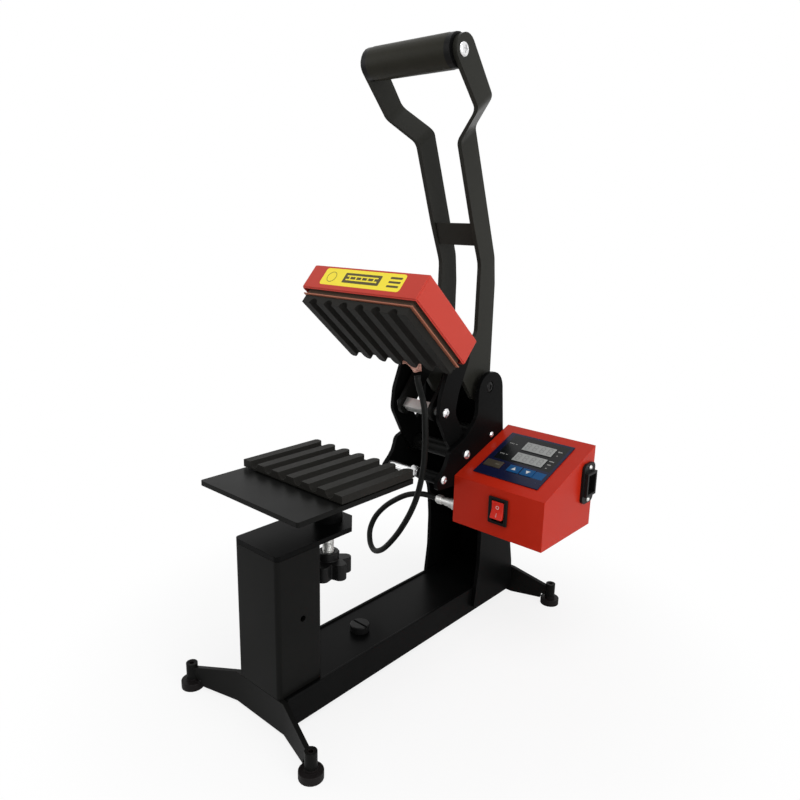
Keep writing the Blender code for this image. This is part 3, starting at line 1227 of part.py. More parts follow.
def make_switch():
    proud = -GAP - BEZEL_PROUD
    cavity_half_width = ROCKER_WIDTH * HALF + ROCKER_CLEARANCE
    cavity_half_height = ROCKER_HEIGHT * HALF + ROCKER_SWING_ROOM
    cavity = Piece("switch_cavity", machine).box(
        switch_point(-cavity_half_width, proud - OVERRUN, -cavity_half_height),
        switch_point(cavity_half_width, SWITCH_BODY_DEPTH - OVERRUN, cavity_half_height))
    housing = Piece("switch_housing", machine).box(
        switch_point(-SWITCH_BODY_WIDTH * HALF, -GAP - BEZEL_PROUD * HALF, -SWITCH_BODY_HEIGHT * HALF),
        switch_point(SWITCH_BODY_WIDTH * HALF, SWITCH_BODY_DEPTH, SWITCH_BODY_HEIGHT * HALF))
    Piece("switch_bezel", machine, "black_plastic").box(
        switch_point(-BEZEL_WIDTH * HALF, proud, -BEZEL_HEIGHT * HALF),
        switch_point(BEZEL_WIDTH * HALF, -GAP, BEZEL_HEIGHT * HALF),
    ).cut(housing, "UNION").cut(cavity).done()

    half = ROCKER_HEIGHT * HALF
    centre_y = box_front - GAP - BEZEL_PROUD
    end_y = centre_y - half * math.tan(ROCKER_TILT)
    back_y = rocker_pivot.y + ROCKER_PIVOT_DEPTH
    z = rocker_pivot.z
    Piece("power_rocker", rocker, "red_switch").plate(
        [[(centre_y, z), (end_y, z - half), (back_y, z - half * HALF), (back_y, z + half * HALF),
          (end_y, z + half)]],
        ALONG_X, rocker_pivot.x - ROCKER_WIDTH * HALF, rocker_pivot.x + ROCKER_WIDTH * HALF).done()


def make_inlet():
    x, y, z = inlet_place
    flange = rounded([
        (y - INLET_WIDTH * HALF, z - INLET_HEIGHT * HALF, INLET_WIDTH * HALF * DOME_SHARE),
        (y + INLET_WIDTH * HALF, z - INLET_HEIGHT * HALF, INLET_WIDTH * HALF * DOME_SHARE),
        (y + INLET_WIDTH * HALF, z + INLET_HEIGHT * HALF, INLET_WIDTH * HALF * DOME_SHARE),
        (y - INLET_WIDTH * HALF, z + INLET_HEIGHT * HALF, INLET_WIDTH * HALF * DOME_SHARE),
    ])
    half_w, half_h = INLET_BODY_WIDTH * HALF, INLET_BODY_HEIGHT * HALF
    body = Piece("inlet_body", machine).box(
        (x - INLET_BODY_DEPTH, y - half_w, z - half_h), (x + INLET_PROUD, y + half_w, z + half_h))
    face = x + INLET_PROUD
    floor = face - INLET_SOCKET_DEPTH
    mouth_w, mouth_h = half_w - INLET_SOCKET_WALL, half_h - INLET_SOCKET_WALL
    socket = Piece("inlet_socket", machine).box(
        (floor, y - mouth_w, z - mouth_h), (face + OVERRUN, y + mouth_w, z + mouth_h))
    pins = Piece("inlet_pins", machine)
    pin_w, pin_h = INLET_PIN_WIDTH * HALF, INLET_PIN_HEIGHT * HALF
    for pin in (-1, 0, 1):
        pin_z = z + pin * INLET_PIN_SPACING
        pins.box((floor - GAP, y - pin_w, pin_z - pin_h),
                 (face - INLET_PIN_RECESS, y + pin_w, pin_z + pin_h))
    holes = Piece("inlet_screw_holes", machine)
    for place in inlet_screw_places():
        holes.rod(place - Vector((OVERRUN, 0, 0)), place + Vector((INLET_FLANGE + OVERRUN, 0, 0)),
                  BOX_SCREW_RADIUS + GAP, SMALL_SIDES)
    Piece("mains_inlet", machine, "black_plastic").plate(
        [flange], ALONG_X, x + GAP, x + GAP + INLET_FLANGE,
    ).cut(body, "UNION").cut(socket).cut(pins, "UNION").cut(holes).done()

    head = INLET_FLANGE + GAP + GAP
    shank_end = head - BOX_WALL - INLET_FLANGE
    for word, place in zip(("upper", "lower"), inlet_screw_places()):
        Piece("inlet_screw_" + word, machine, "zinc").turned(
            [(0, head + BOX_SCREW_HEAD_HEIGHT),
             (BOX_SCREW_HEAD_RADIUS * DOME_SHARE, head + BOX_SCREW_HEAD_HEIGHT),
             (BOX_SCREW_HEAD_RADIUS, head), (BOX_SCREW_RADIUS, head), (BOX_SCREW_RADIUS, shank_end),
             (0, shank_end)],
            place, (1, 0, 0), SMALL_SIDES).done()


def make_mount_strip():
    """A strip inside the box, with the two studs that hold the box to the frame plate."""
    strip_left = box_left + BOX_WALL + GAP
    places = list(mount_screw_places())
    margin = MOUNT_STRIP_WIDTH * HALF
    studs = Piece("mount_studs", machine)
    for y, z in places:
        studs.rod((frame_inner_x, y, z), (strip_left + MOUNT_STRIP_THICKNESS * HALF, y, z),
                  MOUNT_SCREW_RADIUS, SMALL_SIDES)
    (low_y, low_z), (high_y, high_z) = places
    Piece("box_mount_strip", machine, "zinc").box(
        (strip_left, low_y - margin, low_z - margin),
        (strip_left + MOUNT_STRIP_THICKNESS, high_y + margin, high_z + margin),
    ).cut(studs, "UNION").done()


def smooth_route(points, step):
    """Points at about equal steps along a Catmull-Rom curve through the route's points."""
    knots = [Vector(point) for point in points]
    fine = []
    for index in range(len(knots) - 1):
        before = knots[max(index - 1, 0)]
        start, end = knots[index], knots[index + 1]
        after = knots[min(index + 2, len(knots) - 1)]
        for part in range(LEAD_SPLINE_STEPS):
            t = part / LEAD_SPLINE_STEPS
            fine.append(HALF * (
                2 * start + (end - before) * t + (2 * before - 5 * start + 4 * end - after) * t * t
                + (3 * start - before - 3 * end + after) * t * t * t))
    fine.append(knots[-1])
    chosen = [fine[0]]
    for point in fine[1:-1]:
        if (point - chosen[-1]).length >= step:
            chosen.append(point)
    if (chosen[-1] - fine[-1]).length < step * HALF:
        chosen.pop()
    return chosen + [fine[-1]]


def make_lead():
    place = socket_place
    thread_end = BOX_WALL + SOCKET_THREAD_LENGTH
    Piece("lead_socket", machine, "zinc").turned(
        [(0, SOCKET_LENGTH + GAP), (SOCKET_RADIUS, SOCKET_LENGTH + GAP), (SOCKET_RADIUS, GAP),
         (SOCKET_THREAD_RADIUS, GAP), (SOCKET_THREAD_RADIUS, -thread_end), (0, -thread_end)],
        place, (-1, 0, 0)).done()
    start = SOCKET_LENGTH + GAP + GAP
    profile = [(0, start + PLUG_BODY_LENGTH)]
    for along, width in reversed(PLUG_STEP_SHARES):
        profile.append((PLUG_BODY_RADIUS * width, start + PLUG_BODY_LENGTH * along))
    profile.append((0, start))
    Piece("lead_plug", machine, "zinc").turned(profile, place, (-1, 0, 0)).done()
    route = [Vector(point) * MM for point in LEAD_ROUTE]
    Piece("heater_lead", machine, "rubber").tube(smooth_route(route, LEAD_STEP), LEAD_RADIUS).done()


make_base()
make_feet()
make_post()
make_bed()
make_moulds()
make_lift()
make_frame()
make_arm()
make_platen()
make_links()
make_handle()
make_control_box()
make_panel()
make_switch()
make_inlet()
make_mount_strip()
make_lead()
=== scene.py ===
# %% [markdown]
# A pen heat press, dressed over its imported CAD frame.
# The frame gives every solid its place, so this lesson adds what a solid lacks: rounded edges,
# threads, screw recesses, the print on the panel, and a finish for each surface.

import json
import math

import bmesh
import bpy
from mathutils import Matrix, Vector, noise
from mathutils.bvhtree import BVHTree


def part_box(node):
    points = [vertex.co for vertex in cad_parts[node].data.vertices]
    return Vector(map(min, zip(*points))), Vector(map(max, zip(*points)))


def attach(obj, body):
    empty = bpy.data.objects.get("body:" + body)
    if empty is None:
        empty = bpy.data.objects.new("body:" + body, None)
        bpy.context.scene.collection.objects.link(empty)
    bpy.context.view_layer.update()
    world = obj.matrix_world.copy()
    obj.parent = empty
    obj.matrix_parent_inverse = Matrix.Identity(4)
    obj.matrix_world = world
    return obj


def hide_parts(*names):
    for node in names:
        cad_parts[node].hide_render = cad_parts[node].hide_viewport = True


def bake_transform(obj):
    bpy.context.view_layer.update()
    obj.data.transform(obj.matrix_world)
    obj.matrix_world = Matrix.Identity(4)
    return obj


MM = 0.001
FRAME_SHIFT = Vector((28.7, 179.95, 0))
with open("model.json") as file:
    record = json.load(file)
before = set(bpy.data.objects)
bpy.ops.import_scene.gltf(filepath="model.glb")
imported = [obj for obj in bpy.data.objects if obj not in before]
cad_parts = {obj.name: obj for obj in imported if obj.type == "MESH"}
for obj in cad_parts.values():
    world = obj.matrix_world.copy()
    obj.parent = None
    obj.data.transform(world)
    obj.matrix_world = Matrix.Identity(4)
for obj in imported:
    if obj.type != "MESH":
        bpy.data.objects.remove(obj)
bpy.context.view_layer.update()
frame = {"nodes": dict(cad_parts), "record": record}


def at(x, y, z):
    """A place in the maker's drawing, in millimetres, as a place in the frame, in metres."""
    return (Vector((x, y, z)) - FRAME_SHIFT) * MM


MIDDLE_X = at(0, 0, 0).x

# %% [markdown]
# The camera comes first, because everything is judged through it.
# A product photograph is matched by the lens and by three turns: how far the camera looks to the
# side (yaw), how far down (pitch) and how much it leans (roll). The three are written as angles
# here, and the camera's own axes are worked out from them.

# %% Camera
FOCAL_PIXELS = 713.26
PICTURE_PIXELS = 800
SENSOR = 36.0
CAMERA_PLACE = Vector((0.4404, -0.52525, 0.4528))
YAW = math.radians(41.409)
PITCH = math.radians(-14.168)
ROLL = math.radians(1.324)

forward = Vector((-math.sin(YAW) * math.cos(PITCH), math.cos(YAW) * math.cos(PITCH), math.sin(PITCH)))
level = Vector((math.cos(YAW), math.sin(YAW), 0))
upright = level.cross(forward)
across = level * math.cos(ROLL) + upright * math.sin(ROLL)
upward = upright * math.cos(ROLL) - level * math.sin(ROLL)



def placed(name, data):
    """A new object in the scene that holds the data."""
    item = bpy.data.objects.new(name, data)
    bpy.context.scene.collection.objects.link(item)
    return item


camera = placed("camera", bpy.data.cameras.new("camera"))
camera.data.sensor_width = SENSOR
camera.data.lens = FOCAL_PIXELS / PICTURE_PIXELS * SENSOR
camera.data.clip_start = 0.01
camera_axes = Matrix((across, upward, -forward)).transposed()
camera.matrix_world = Matrix.Translation(CAMERA_PLACE) @ camera_axes.to_4x4()
bpy.context.scene.camera = camera
print("lens", round(camera.data.lens, 2), "mm")

# %% [markdown]
# Shader maths reads best as plain expressions. `Wire` wraps a socket, so that `1 - mask` adds its
# own Math node, and `Finish` adds any other node by its type, its settings and its sockets.

# %% Shader helpers


class Wire:
    """A shader socket that takes part in sums."""

    def __init__(self, finish, socket):
        self.finish = finish
        self.socket = socket

    def maths(self, operation, *values):
        return self.finish.add("ShaderNodeMath", {"operation": operation}, dict(enumerate(values)))

    def __add__(self, other):
        return self.maths("ADD", self, other)

    def __radd__(self, other):
        return self.maths("ADD", other, self)

    def __sub__(self, other):
        return self.maths("SUBTRACT", self, other)

    def __rsub__(self, other):
        return self.maths("SUBTRACT", other, self)

    def __mul__(self, other):
        return self.maths("MULTIPLY", self, other)

    def __rmul__(self, other):
        return self.maths("MULTIPLY", other, self)

    def larger(self, other):
        return self.maths("MAXIMUM", self, other)

    def smaller(self, other):
        return self.maths("MINIMUM", self, other)

    def wave(self):
        return self.maths("SINE", self)

    def steps(self, low, high):
        """Nought below low, one above high, and a smooth rise between them."""
        return self.finish.add("ShaderNodeMapRange", {"interpolation_type": "SMOOTHSTEP"},
                               {"Value": self, "From Min": low, "From Max": high}, "Result")


def socket_named(sockets, key):
    """A socket by its index, identifier or name."""
    if isinstance(key, int):
        return sockets[key]
    for socket in sockets:
        if socket.identifier == key:
            return socket
    return sockets[key]


def add_node(tree, kind, settings, sockets):
    """A new node with its settings made, and its sockets set or linked."""
    node = tree.nodes.new(kind)
    for setting, value in settings.items():
        setattr(node, setting, value)
    for key, value in sockets.items():
        target = socket_named(node.inputs, key)
        for part in value if isinstance(value, list) else [value]:
            part = part.socket if isinstance(part, Wire) else part
            if isinstance(part, bpy.types.NodeSocket):
                tree.links.new(part, target)
            else:
                target.default_value = part
    return node


class Finish:
    """A material under construction, with one Principled surface at its end."""

    def __init__(self, name):
        self.material = bpy.data.materials.new(name)
        self.material.use_nodes = True
        self.tree = self.material.node_tree
        self.tree.nodes.clear()

    def add(self, kind, settings, sockets, output=0):
        node = add_node(self.tree, kind, settings, sockets)
        return Wire(self, socket_named(node.outputs, output))

    def place(self):
        """Object coordinates, in metres."""
        return self.add("ShaderNodeTexCoord", {}, {}, "Object")

    def uv(self):
        return self.add("ShaderNodeTexCoord", {}, {}, "UV")

    def parts(self, vector):
        node = add_node(self.tree, "ShaderNodeSeparateXYZ", {}, {0: vector})
        return [Wire(self, output) for output in node.outputs]

    def grain(self, scale, detail=3.0, roughness=0.55, vector=None):
        """Noise from nought to one, whose features are about one over scale metres wide."""
        return self.add("ShaderNodeTexNoise", {}, {
            "Vector": vector or self.place(), "Scale": scale, "Detail": detail, "Roughness": roughness})

    def stretched(self, stretch):
        """Object coordinates stretched along the axes, for brushed and drawn metal."""
        return self.add("ShaderNodeMapping", {}, {"Vector": self.place(), "Scale": stretch})

    def mix(self, share, first, second):
        """One colour into another by a share."""
        return self.add("ShaderNodeMix", {"data_type": "RGBA"}, {
            "Factor_Float": share, "A_Color": first, "B_Color": second}, "Result_Color")

    def bump(self, height, distance, strength=1.0):
        """A normal from a height, whose full rise is distance metres."""
        return self.add("ShaderNodeBump", {}, {
            "Height": height, "Distance": distance, "Strength": strength}, "Normal")

    def surface(self, sockets):
        shader = self.add("ShaderNodeBsdfPrincipled", {}, sockets)
        return self.end(shader)

    def end(self, shader):
        add_node(self.tree, "ShaderNodeOutputMaterial", {}, {"Surface": shader})
        return self.material


def colour(red, green, blue):
    return (red, green, blue, 1.0)

# %% [markdown]
# Every black steel part has a satin powder coat. Powder flows out into a faint orange peel, so the
# coat gets a fine bump about a millimetre wide, a little variation in its gloss, and a few paler
# scuffs. A lower specular level keeps it dark in a white room. Two more copies of the black coat
# carry painted light: the handle's copy is painted paler and warmer, a painted highlight, and a
# darker copy is painted shade on the base, frame plates, back plate, post cap, arm plates and nose
# sleeve. The red parts wear the same coat; the cover's red is painted a little paler, a painted
# highlight, as it stands right under the light.

# %% Coated steel


def coat(name, paint, worn, gloss, peel=0.00002, scuffs=0.62, level=0.35):
    """A powder coat: its colour, its paler scuffed colour, its roughness and its orange peel."""
    finish = Finish(name)
    cloud = finish.grain(28.0, 4.0)
    fine = finish.grain(900.0, 2.0)
    scratch = finish.grain(160.0, 6.0, 0.7, finish.stretched((1.0, 1.0, 0.12)))
    wear = scratch.steps(scuffs, scuffs + 0.2)
    shade = finish.mix(cloud * 0.5 + 0.2 * wear, colour(*paint), colour(*worn))
    height = fine * 0.7 + finish.grain(3500.0, 1.0) * 0.3
    return finish.surface({
        "Base Color": shade,
        "Roughness": gloss + (cloud - 0.5) * 0.12 + wear * 0.08,
        "Specular IOR Level": level,
        "Normal": finish.bump(height, peel),
    })


black_coat = coat("black_powder_coat", (0.0045, 0.0046, 0.0043), (0.010, 0.010, 0.0093), 0.36, level=0.06)
# Painted shade: the black coat painted darker, for the frame's plates, base and post cap.
painted_shade_coat = coat("painted_shade_powder_coat", (0.0022, 0.0023, 0.0023), (0.0055, 0.0057, 0.0056), 0.33, level=0.04)
# Painted highlight: the black coat painted paler and warmer, for the handle.
handle_painted_light_coat = coat("handle_painted_light_powder_coat", (0.0180, 0.0180, 0.0148), (0.0310, 0.0308, 0.0262), 0.36, level=0.09)
red_coat = coat("red_powder_coat", (0.46, 0.017, 0.0050), (0.58, 0.028, 0.0095), 0.34,
                scuffs=0.7, level=0.15)
# Painted highlight: the cover's red is painted paler, as it stands right under the light.
cover_painted_light_coat = coat("cover_painted_light_powder_coat", (0.52, 0.048, 0.032), (0.60, 0.068, 0.048), 0.34,
                  scuffs=0.7, level=0.15)

# %% [markdown]
# The two moulds wear a thicker, sandy coat that stands heat. Its grains are a third of a
# millimetre wide and catch the light, so the bump is stronger and the gloss is low.

# %% Mould coat


def mould_finish():
    finish = Finish("mould_coat")
    sand = finish.grain(1500.0, 3.0, 0.7)
    cloud = finish.grain(40.0, 3.0)
    shade = finish.mix(sand * 0.6 + cloud * 0.4, colour(0.005, 0.005, 0.0042), colour(0.017, 0.016, 0.0135))
    return finish.surface({
        "Base Color": shade,
        "Roughness": 0.58 + (cloud - 0.5) * 0.15,
        "Specular IOR Level": 0.12,
        "Normal": finish.bump(sand, 0.00009),
    })


mould_coat = mould_finish()

# %% [markdown]
# Screws, bars and the plug are bare metal. Zinc plate is bright but a little milky and blotchy;
# chrome is almost a mirror. Both are metallic, with turning or drawing lines along one axis.

# %% Bare metals


def metal(name, tone, blotch, gloss, lines, depth=0.000004, metallic=1.0):
    """A bare metal: its tone, its duller blotches, its roughness and how its lines run."""
    finish = Finish(name)
    drawn = finish.grain(1.0, 3.0, 0.6, finish.stretched(lines))
    cloud = finish.grain(220.0, 4.0)
    return finish.surface({
        "Base Color": finish.mix(cloud, colour(*tone), colour(*blotch)),
        "Metallic": metallic,
        "Roughness": gloss + cloud * 0.12 + (drawn - 0.5) * 0.1,
        "Normal": finish.bump(drawn, depth),
    })


zinc = metal("zinc_plate", (0.80, 0.80, 0.78), (0.60, 0.60, 0.58), 0.26,
             (90.0, 1500.0, 1500.0), 0.000001, 0.7)
chrome = metal("chrome_plate", (0.86, 0.86, 0.86), (0.74, 0.74, 0.75), 0.08,
               (4000.0, 300.0, 300.0), 0.0000005, 0.85)
foil = metal("crumpled_foil", (0.86, 0.56, 0.47), (0.72, 0.40, 0.32), 0.25,
             (700.0, 700.0, 900.0), 0.00004, 0.45)

# %% [markdown]
# Moulded plastic and rubber are dull. A spark-eroded mould leaves fine pits in plastic, and the
# foam grip has small closed pores.

# %% Plastics and rubber


def dull(name, tone, pale, gloss, pit_size, pit_depth, level=0.35):
    """Moulded plastic or rubber: its tones, its roughness and the pits of its skin."""
    finish = Finish(name)
    pits = finish.grain(1.0 / pit_size, 2.0, 0.6)
    cloud = finish.grain(60.0, 3.0)
    return finish.surface({
        "Base Color": finish.mix(cloud * 0.7 + pits * 0.3, colour(*tone), colour(*pale)),
        "Roughness": gloss + (cloud - 0.5) * 0.1,
        "Specular IOR Level": level,
        "Normal": finish.bump(pits, pit_depth),
    })


black_plastic = dull(
    "black_plastic", (0.005, 0.005, 0.005), (0.010, 0.010, 0.010), 0.36, 0.0007, 0.00003, 0.12)
foot_rubber = dull("foot_rubber", (0.005, 0.004, 0.004), (0.010, 0.008, 0.008), 0.5, 0.0012, 0.00005, 0.12)
spacer_sheet = dull("spacer_sheet", (0.34, 0.32, 0.28), (0.46, 0.44, 0.39), 0.7, 0.0009, 0.00005)
window_film = dull("window_film", (0.27, 0.28, 0.27), (0.36, 0.37, 0.36), 0.3, 0.0015, 0.000005)
brown_key = dull("brown_key", (0.040, 0.032, 0.020), (0.056, 0.044, 0.030), 0.4, 0.0012, 0.00001)
blue_key = dull("blue_key", (0.0010, 0.055, 0.170), (0.002, 0.080, 0.225), 0.38, 0.0012, 0.00001, 0.15)
switch_red = dull("switch_red", (0.62, 0.016, 0.010), (0.72, 0.030, 0.016), 0.22, 0.004, 0.000005, 0.5)
mark_white = dull("mark_white", (0.62, 0.62, 0.60), (0.74, 0.74, 0.72), 0.5, 0.002, 0.000002)
print_grey = dull("print_grey", (0.22, 0.22, 0.21), (0.30, 0.30, 0.29), 0.5, 0.002, 0.000002)
dim_mark = dull("dim_mark", (0.12, 0.11, 0.08), (0.17, 0.15, 0.11), 0.5, 0.002, 0.000002)
window_shade = dull("window_shade", (0.17, 0.175, 0.17), (0.21, 0.215, 0.21), 0.3, 0.002, 0.000002)
decal_yellow = dull("decal_yellow", (0.95, 0.76, 0.035), (1.0, 0.84, 0.055), 0.4, 0.003, 0.000004)
decal_dark = dull("decal_dark", (0.060, 0.045, 0.010), (0.090, 0.070, 0.018), 0.45, 0.003, 0.000004)

# %% [markdown]
# The grip is a foam tube whose ends are darker and a little glossier. One material does both:
# the square of the distance from the grip's middle tells where a dark end begins.

# %% Grip
DARK_END_START = 47.0 * MM
DARK_END_FADE = 0.4 * MM


def grip_finish():
    finish = Finish("grip_foam")
    x, _, _ = finish.parts(finish.place())
    off_middle = x - MIDDLE_X
    dark_end = (off_middle * off_middle).steps(DARK_END_START ** 2, (DARK_END_START + DARK_END_FADE) ** 2)
    pores = finish.grain(1600.0, 2.0, 0.6)
    cloud = finish.grain(60.0, 3.0)
    foam = finish.mix(cloud * 0.7 + pores * 0.3, colour(0.0090, 0.0084, 0.0046), colour(0.020, 0.0185, 0.012))
    return finish.surface({
        "Base Color": finish.mix(dark_end, foam, colour(0.0025, 0.0025, 0.0025)),
        "Roughness": 0.40 + (cloud - 0.5) * 0.1 - dark_end * 0.08,
        "Specular IOR Level": 0.12,
        "Normal": finish.bump(pores, 0.00006),
    })


grip_foam = grip_finish()

# %% [markdown]
# The panel's film is printed from behind: navy all round, with a black field behind the displays.
# The field is worked out from the place on the slope, with an edge that fades over half a
# millimetre, as printing ink does.

# %% Panel film
PANEL_SLOPE = math.atan2(36.5, 99.0)
PANEL_CORNER = at(39.9, 232, 190.5)
INK_EDGE = 0.5 * MM


def film_finish():
    finish = Finish("panel_film")
    x, y, z = finish.parts(finish.place())
    across = x - PANEL_CORNER.x
    along = (y - PANEL_CORNER.y) * math.cos(PANEL_SLOPE) + (z - PANEL_CORNER.z) * math.sin(PANEL_SLOPE)

    def between(value, low, high):
        return value.steps(low * MM, low * MM + INK_EDGE) * (1 - value.steps(high * MM, high * MM + INK_EDGE))

    field = between(across, 21.0, 89.5) * between(along, 42.5, 88.5)
    cloud = finish.grain(60.0, 3.0)
    navy = finish.mix(cloud, colour(0.0035, 0.0055, 0.026), colour(0.006, 0.009, 0.040))
    black = finish.mix(cloud, colour(0.0022, 0.0030, 0.0035), colour(0.0045, 0.0055, 0.0060))
    return finish.surface({
        "Base Color": finish.mix(field, navy, black),
        "Roughness": 0.26 + (cloud - 0.5) * 0.08,
        "Specular IOR Level": 0.18,
        "Normal": finish.bump(finish.grain(500.0, 2.0), 0.000006),
    })


panel_film = film_finish()

# %% [markdown]
# The heating mat shows only at its edge: silicone on a woven glass cloth, orange pink. The board
# above it is pressed brown fibre.

# %% Mat and fibre board


def woven(name, tone, pale, pitch, depth, gloss):
    """Cloth under a skin: crossed sine waves, pitch metres apart."""
    finish = Finish(name)
    turn = 2 * math.pi / pitch
    x, y, z = finish.parts(finish.place())
    weave = (x * turn).wave() * ((y + z) * turn).wave() * 0.5 + 0.5
    cloud = finish.grain(90.0, 4.0)
    return finish.surface({
        "Base Color": finish.mix(weave * 0.4 + cloud * 0.6, colour(*tone), colour(*pale)),
        "Roughness": gloss + (cloud - 0.5) * 0.15,
        "Normal": finish.bump(weave, depth),
    })


heater_mat = woven("heater_mat", (0.26, 0.070, 0.036), (0.46, 0.17, 0.10), 0.0011, 0.00008, 0.6)
fibre_board = woven("fibre_board", (0.045, 0.024, 0.014), (0.11, 0.062, 0.036), 0.0023, 0.00006, 0.9)

# %% [markdown]
# The lead's insulation is a dark braided sleeve. The braid follows the cord, so its material reads
# the tube's own UV map: U counts round the tube and V counts along it, in turns of equal size.

# %% Braided sleeve


def braid():
    finish = Finish("braided_sleeve")
    u, v, _ = finish.parts(finish.uv())
    strands = 12.0
    turn = 2 * math.pi
    one_way = ((u * strands + v) * turn).wave()
    other_way = ((u * strands - v) * turn).wave()
    height = one_way.larger(other_way) * 0.5 + 0.5
    cloud = finish.grain(120.0, 3.0)
    pale = height * 0.5 + cloud * 0.4
    return finish.surface({
        "Base Color": finish.mix(pale, colour(0.003, 0.003, 0.003), colour(0.009, 0.010, 0.009)),
        "Roughness": 0.34 + height * 0.12,
        "Specular IOR Level": 0.10,
        "Normal": finish.bump(height, 0.00008),
    })


lead_braid = braid()

# %% [markdown]
# The heater lead leaves the mat's tab, hangs down through the machine, swings round in one loop
# and enters a round connector on the control box. The route is a short list of given points; a
# Catmull-Rom curve runs smoothly through them, and a ring is swept along it.

# %% Lead route
LEAD_ROUTE = (
    (17.5, 192.3, 301.3), (18.8, 192, 295), (23, 191, 286.5), (28.5, 189.5, 277), (31.5, 189, 266),
    (32.5, 189, 253), (32.5, 190, 240), (31.5, 191, 226), (29, 193, 209), (25, 194, 190),
    (20, 195, 173), (14.5, 195, 158), (5.5, 195, 140), (-8, 196, 119), (-24, 197.5, 99.5),
    (-37.5, 200.5, 88), (-51, 205, 82.5), (-63, 211, 86.5), (-69, 217, 98.5), (-65.5, 222, 114),
    (-54.5, 226.5, 129), (-41, 230.8, 140.5), (-28, 234.5, 148.5), (-14.5, 236.8, 153),
    (-2, 237.9, 155), (12.7, 238, 155),
)
LEAD_RADIUS = 3.2 * MM
LEAD_STEPS = 8


def smooth_route(knots, steps):
    """Points on a Catmull-Rom curve through the knots."""
    points = []
    for index in range(len(knots) - 1):
        before, start = knots[max(index - 1, 0)], knots[index]
        end, after = knots[index + 1], knots[min(index + 2, len(knots) - 1)]
        for step in range(steps):
            t = step / steps
            points.append(0.5 * (
                2 * start + (end - before) * t + (2 * before - 5 * start + 4 * end - after) * t * t
                + (3 * start - before - 3 * end + after) * t * t * t))
    return points + [knots[-1]]


lead_line = smooth_route([at(*point) for point in LEAD_ROUTE], LEAD_STEPS)
lead_length = sum((b - a).length for a, b in zip(lead_line, lead_line[1:]))
print("lead", len(lead_line), "points,", round(lead_length / MM, 1), "mm")

# %% [markdown]
# The ring is carried from point to point without twisting: each new frame is the last one turned
# by the bend between the two directions. The tube's ends are closed.

# %% Sweep a tube
LEAD_SIDES = 16


def new_piece(name, mesh, material):
    """An object at the origin that holds a mesh and a material."""
    piece = placed(name, mesh)
    mesh.materials.clear()
    mesh.materials.append(material)
    return piece


def mesh_from(shape, name):
    """A mesh from a bmesh, which isn't needed after that."""
    mesh = bpy.data.meshes.new(name)
    shape.to_mesh(mesh)
    shape.free()
    return mesh


def swept_tube(name, line, radius, sides, material, braid_length=0.004):
    """A closed tube along a line, with a UV map that counts round it and along it."""
    shape = bmesh.new()
    layer = shape.loops.layers.uv.new("route")
    along = 0.0
    direction = (line[1] - line[0]).normalized()
    side = direction.orthogonal().normalized()
    rings, lengths = [], []
    for index, point in enumerate(line):
        ahead = line[min(index + 1, len(line) - 1)] - line[max(index - 1, 0)]
        turned = direction.rotation_difference(ahead.normalized())
        direction, side = ahead.normalized(), turned @ side
        other = direction.cross(side)
        along += (point - line[index - 1]).length if index else 0.0
        lengths.append(along / braid_length)
        rings.append([
            shape.verts.new(point + radius * (side * math.cos(angle) + other * math.sin(angle)))
            for angle in (2 * math.pi * step / sides for step in range(sides))])
    for index in range(len(rings) - 1):
        for step in range(sides):
            after = (step + 1) % sides
            face = shape.faces.new((
                rings[index][step], rings[index][after], rings[index + 1][after], rings[index + 1][step]))
            face.smooth = True
            places = ((step, index), (step + 1, index), (step + 1, index + 1), (step, index + 1))
            for corner, (u, v) in zip(face.loops, places):
                corner[layer].uv = (u / sides, lengths[v])
    shape.faces.new(reversed(rings[0]))
    shape.faces.new(rings[-1])
    bmesh.ops.recalc_face_normals(shape, faces=shape.faces)
    return new_piece(name, mesh_from(shape, name), material)


lead = swept_tube("braided_lead", lead_line, LEAD_RADIUS, LEAD_SIDES, lead_braid)
print("lead has", len(lead.data.polygons), "faces")

# %% [markdown]
# Studio light: a white room whose light comes from all round, one wide lamp on the machine's right
# and a smaller one overhead. The floor is pale, and the white room shows to the camera and in
# gloss at a strength of one, while it lights the machine with less.

# %% Room, floor and lamps
ROOM_LIGHT = 0.38
FLOOR_SIZE = 3.0
world = bpy.data.worlds.new("white_room")
bpy.context.scene.world = world
world.use_nodes = True
room = world.node_tree
room.nodes.clear()
rays = add_node(room, "ShaderNodeLightPath", {}, {})
seen = rays.outputs["Is Camera Ray"]
for kind in ("Is Glossy Ray", "Is Transmission Ray"):
    either = add_node(room, "ShaderNodeMath", {"operation": "MAXIMUM"}, {0: seen, 1: rays.outputs[kind]})
    seen = either.outputs[0]
strength = add_node(room, "ShaderNodeMapRange", {}, {"Value": seen, "To Min": ROOM_LIGHT})
background = add_node(room, "ShaderNodeBackground", {}, {
    "Color": colour(1.0, 1.0, 1.0), "Strength": strength.outputs[0]})
add_node(room, "ShaderNodeOutputWorld", {}, {"Surface": background.outputs[0]})
bpy.context.scene.view_settings.view_transform = "Standard"


def lamp(name, place, target, size, power):
    """A square area lamp that faces a target."""
    light = bpy.data.lights.new(name, "AREA")
    light.size = size
    light.energy = power
    holder = placed(name, light)
    aim = (Vector(target) - Vector(place)).to_track_quat("-Z", "Y")
    holder.matrix_world = Matrix.Translation(place) @ aim.to_matrix().to_4x4()


MIDDLE = (0.0, 0.0, 0.28)
lamp("side_lamp", (1.9, -0.25, 0.75), MIDDLE, 1.3, 18.5)
lamp("top_lamp", (0.3, -0.5, 2.0), MIDDLE, 1.2, 13.0)
lamp("left_lamp", (-1.5, -1.2, 0.9), MIDDLE, 1.2, 5.0)
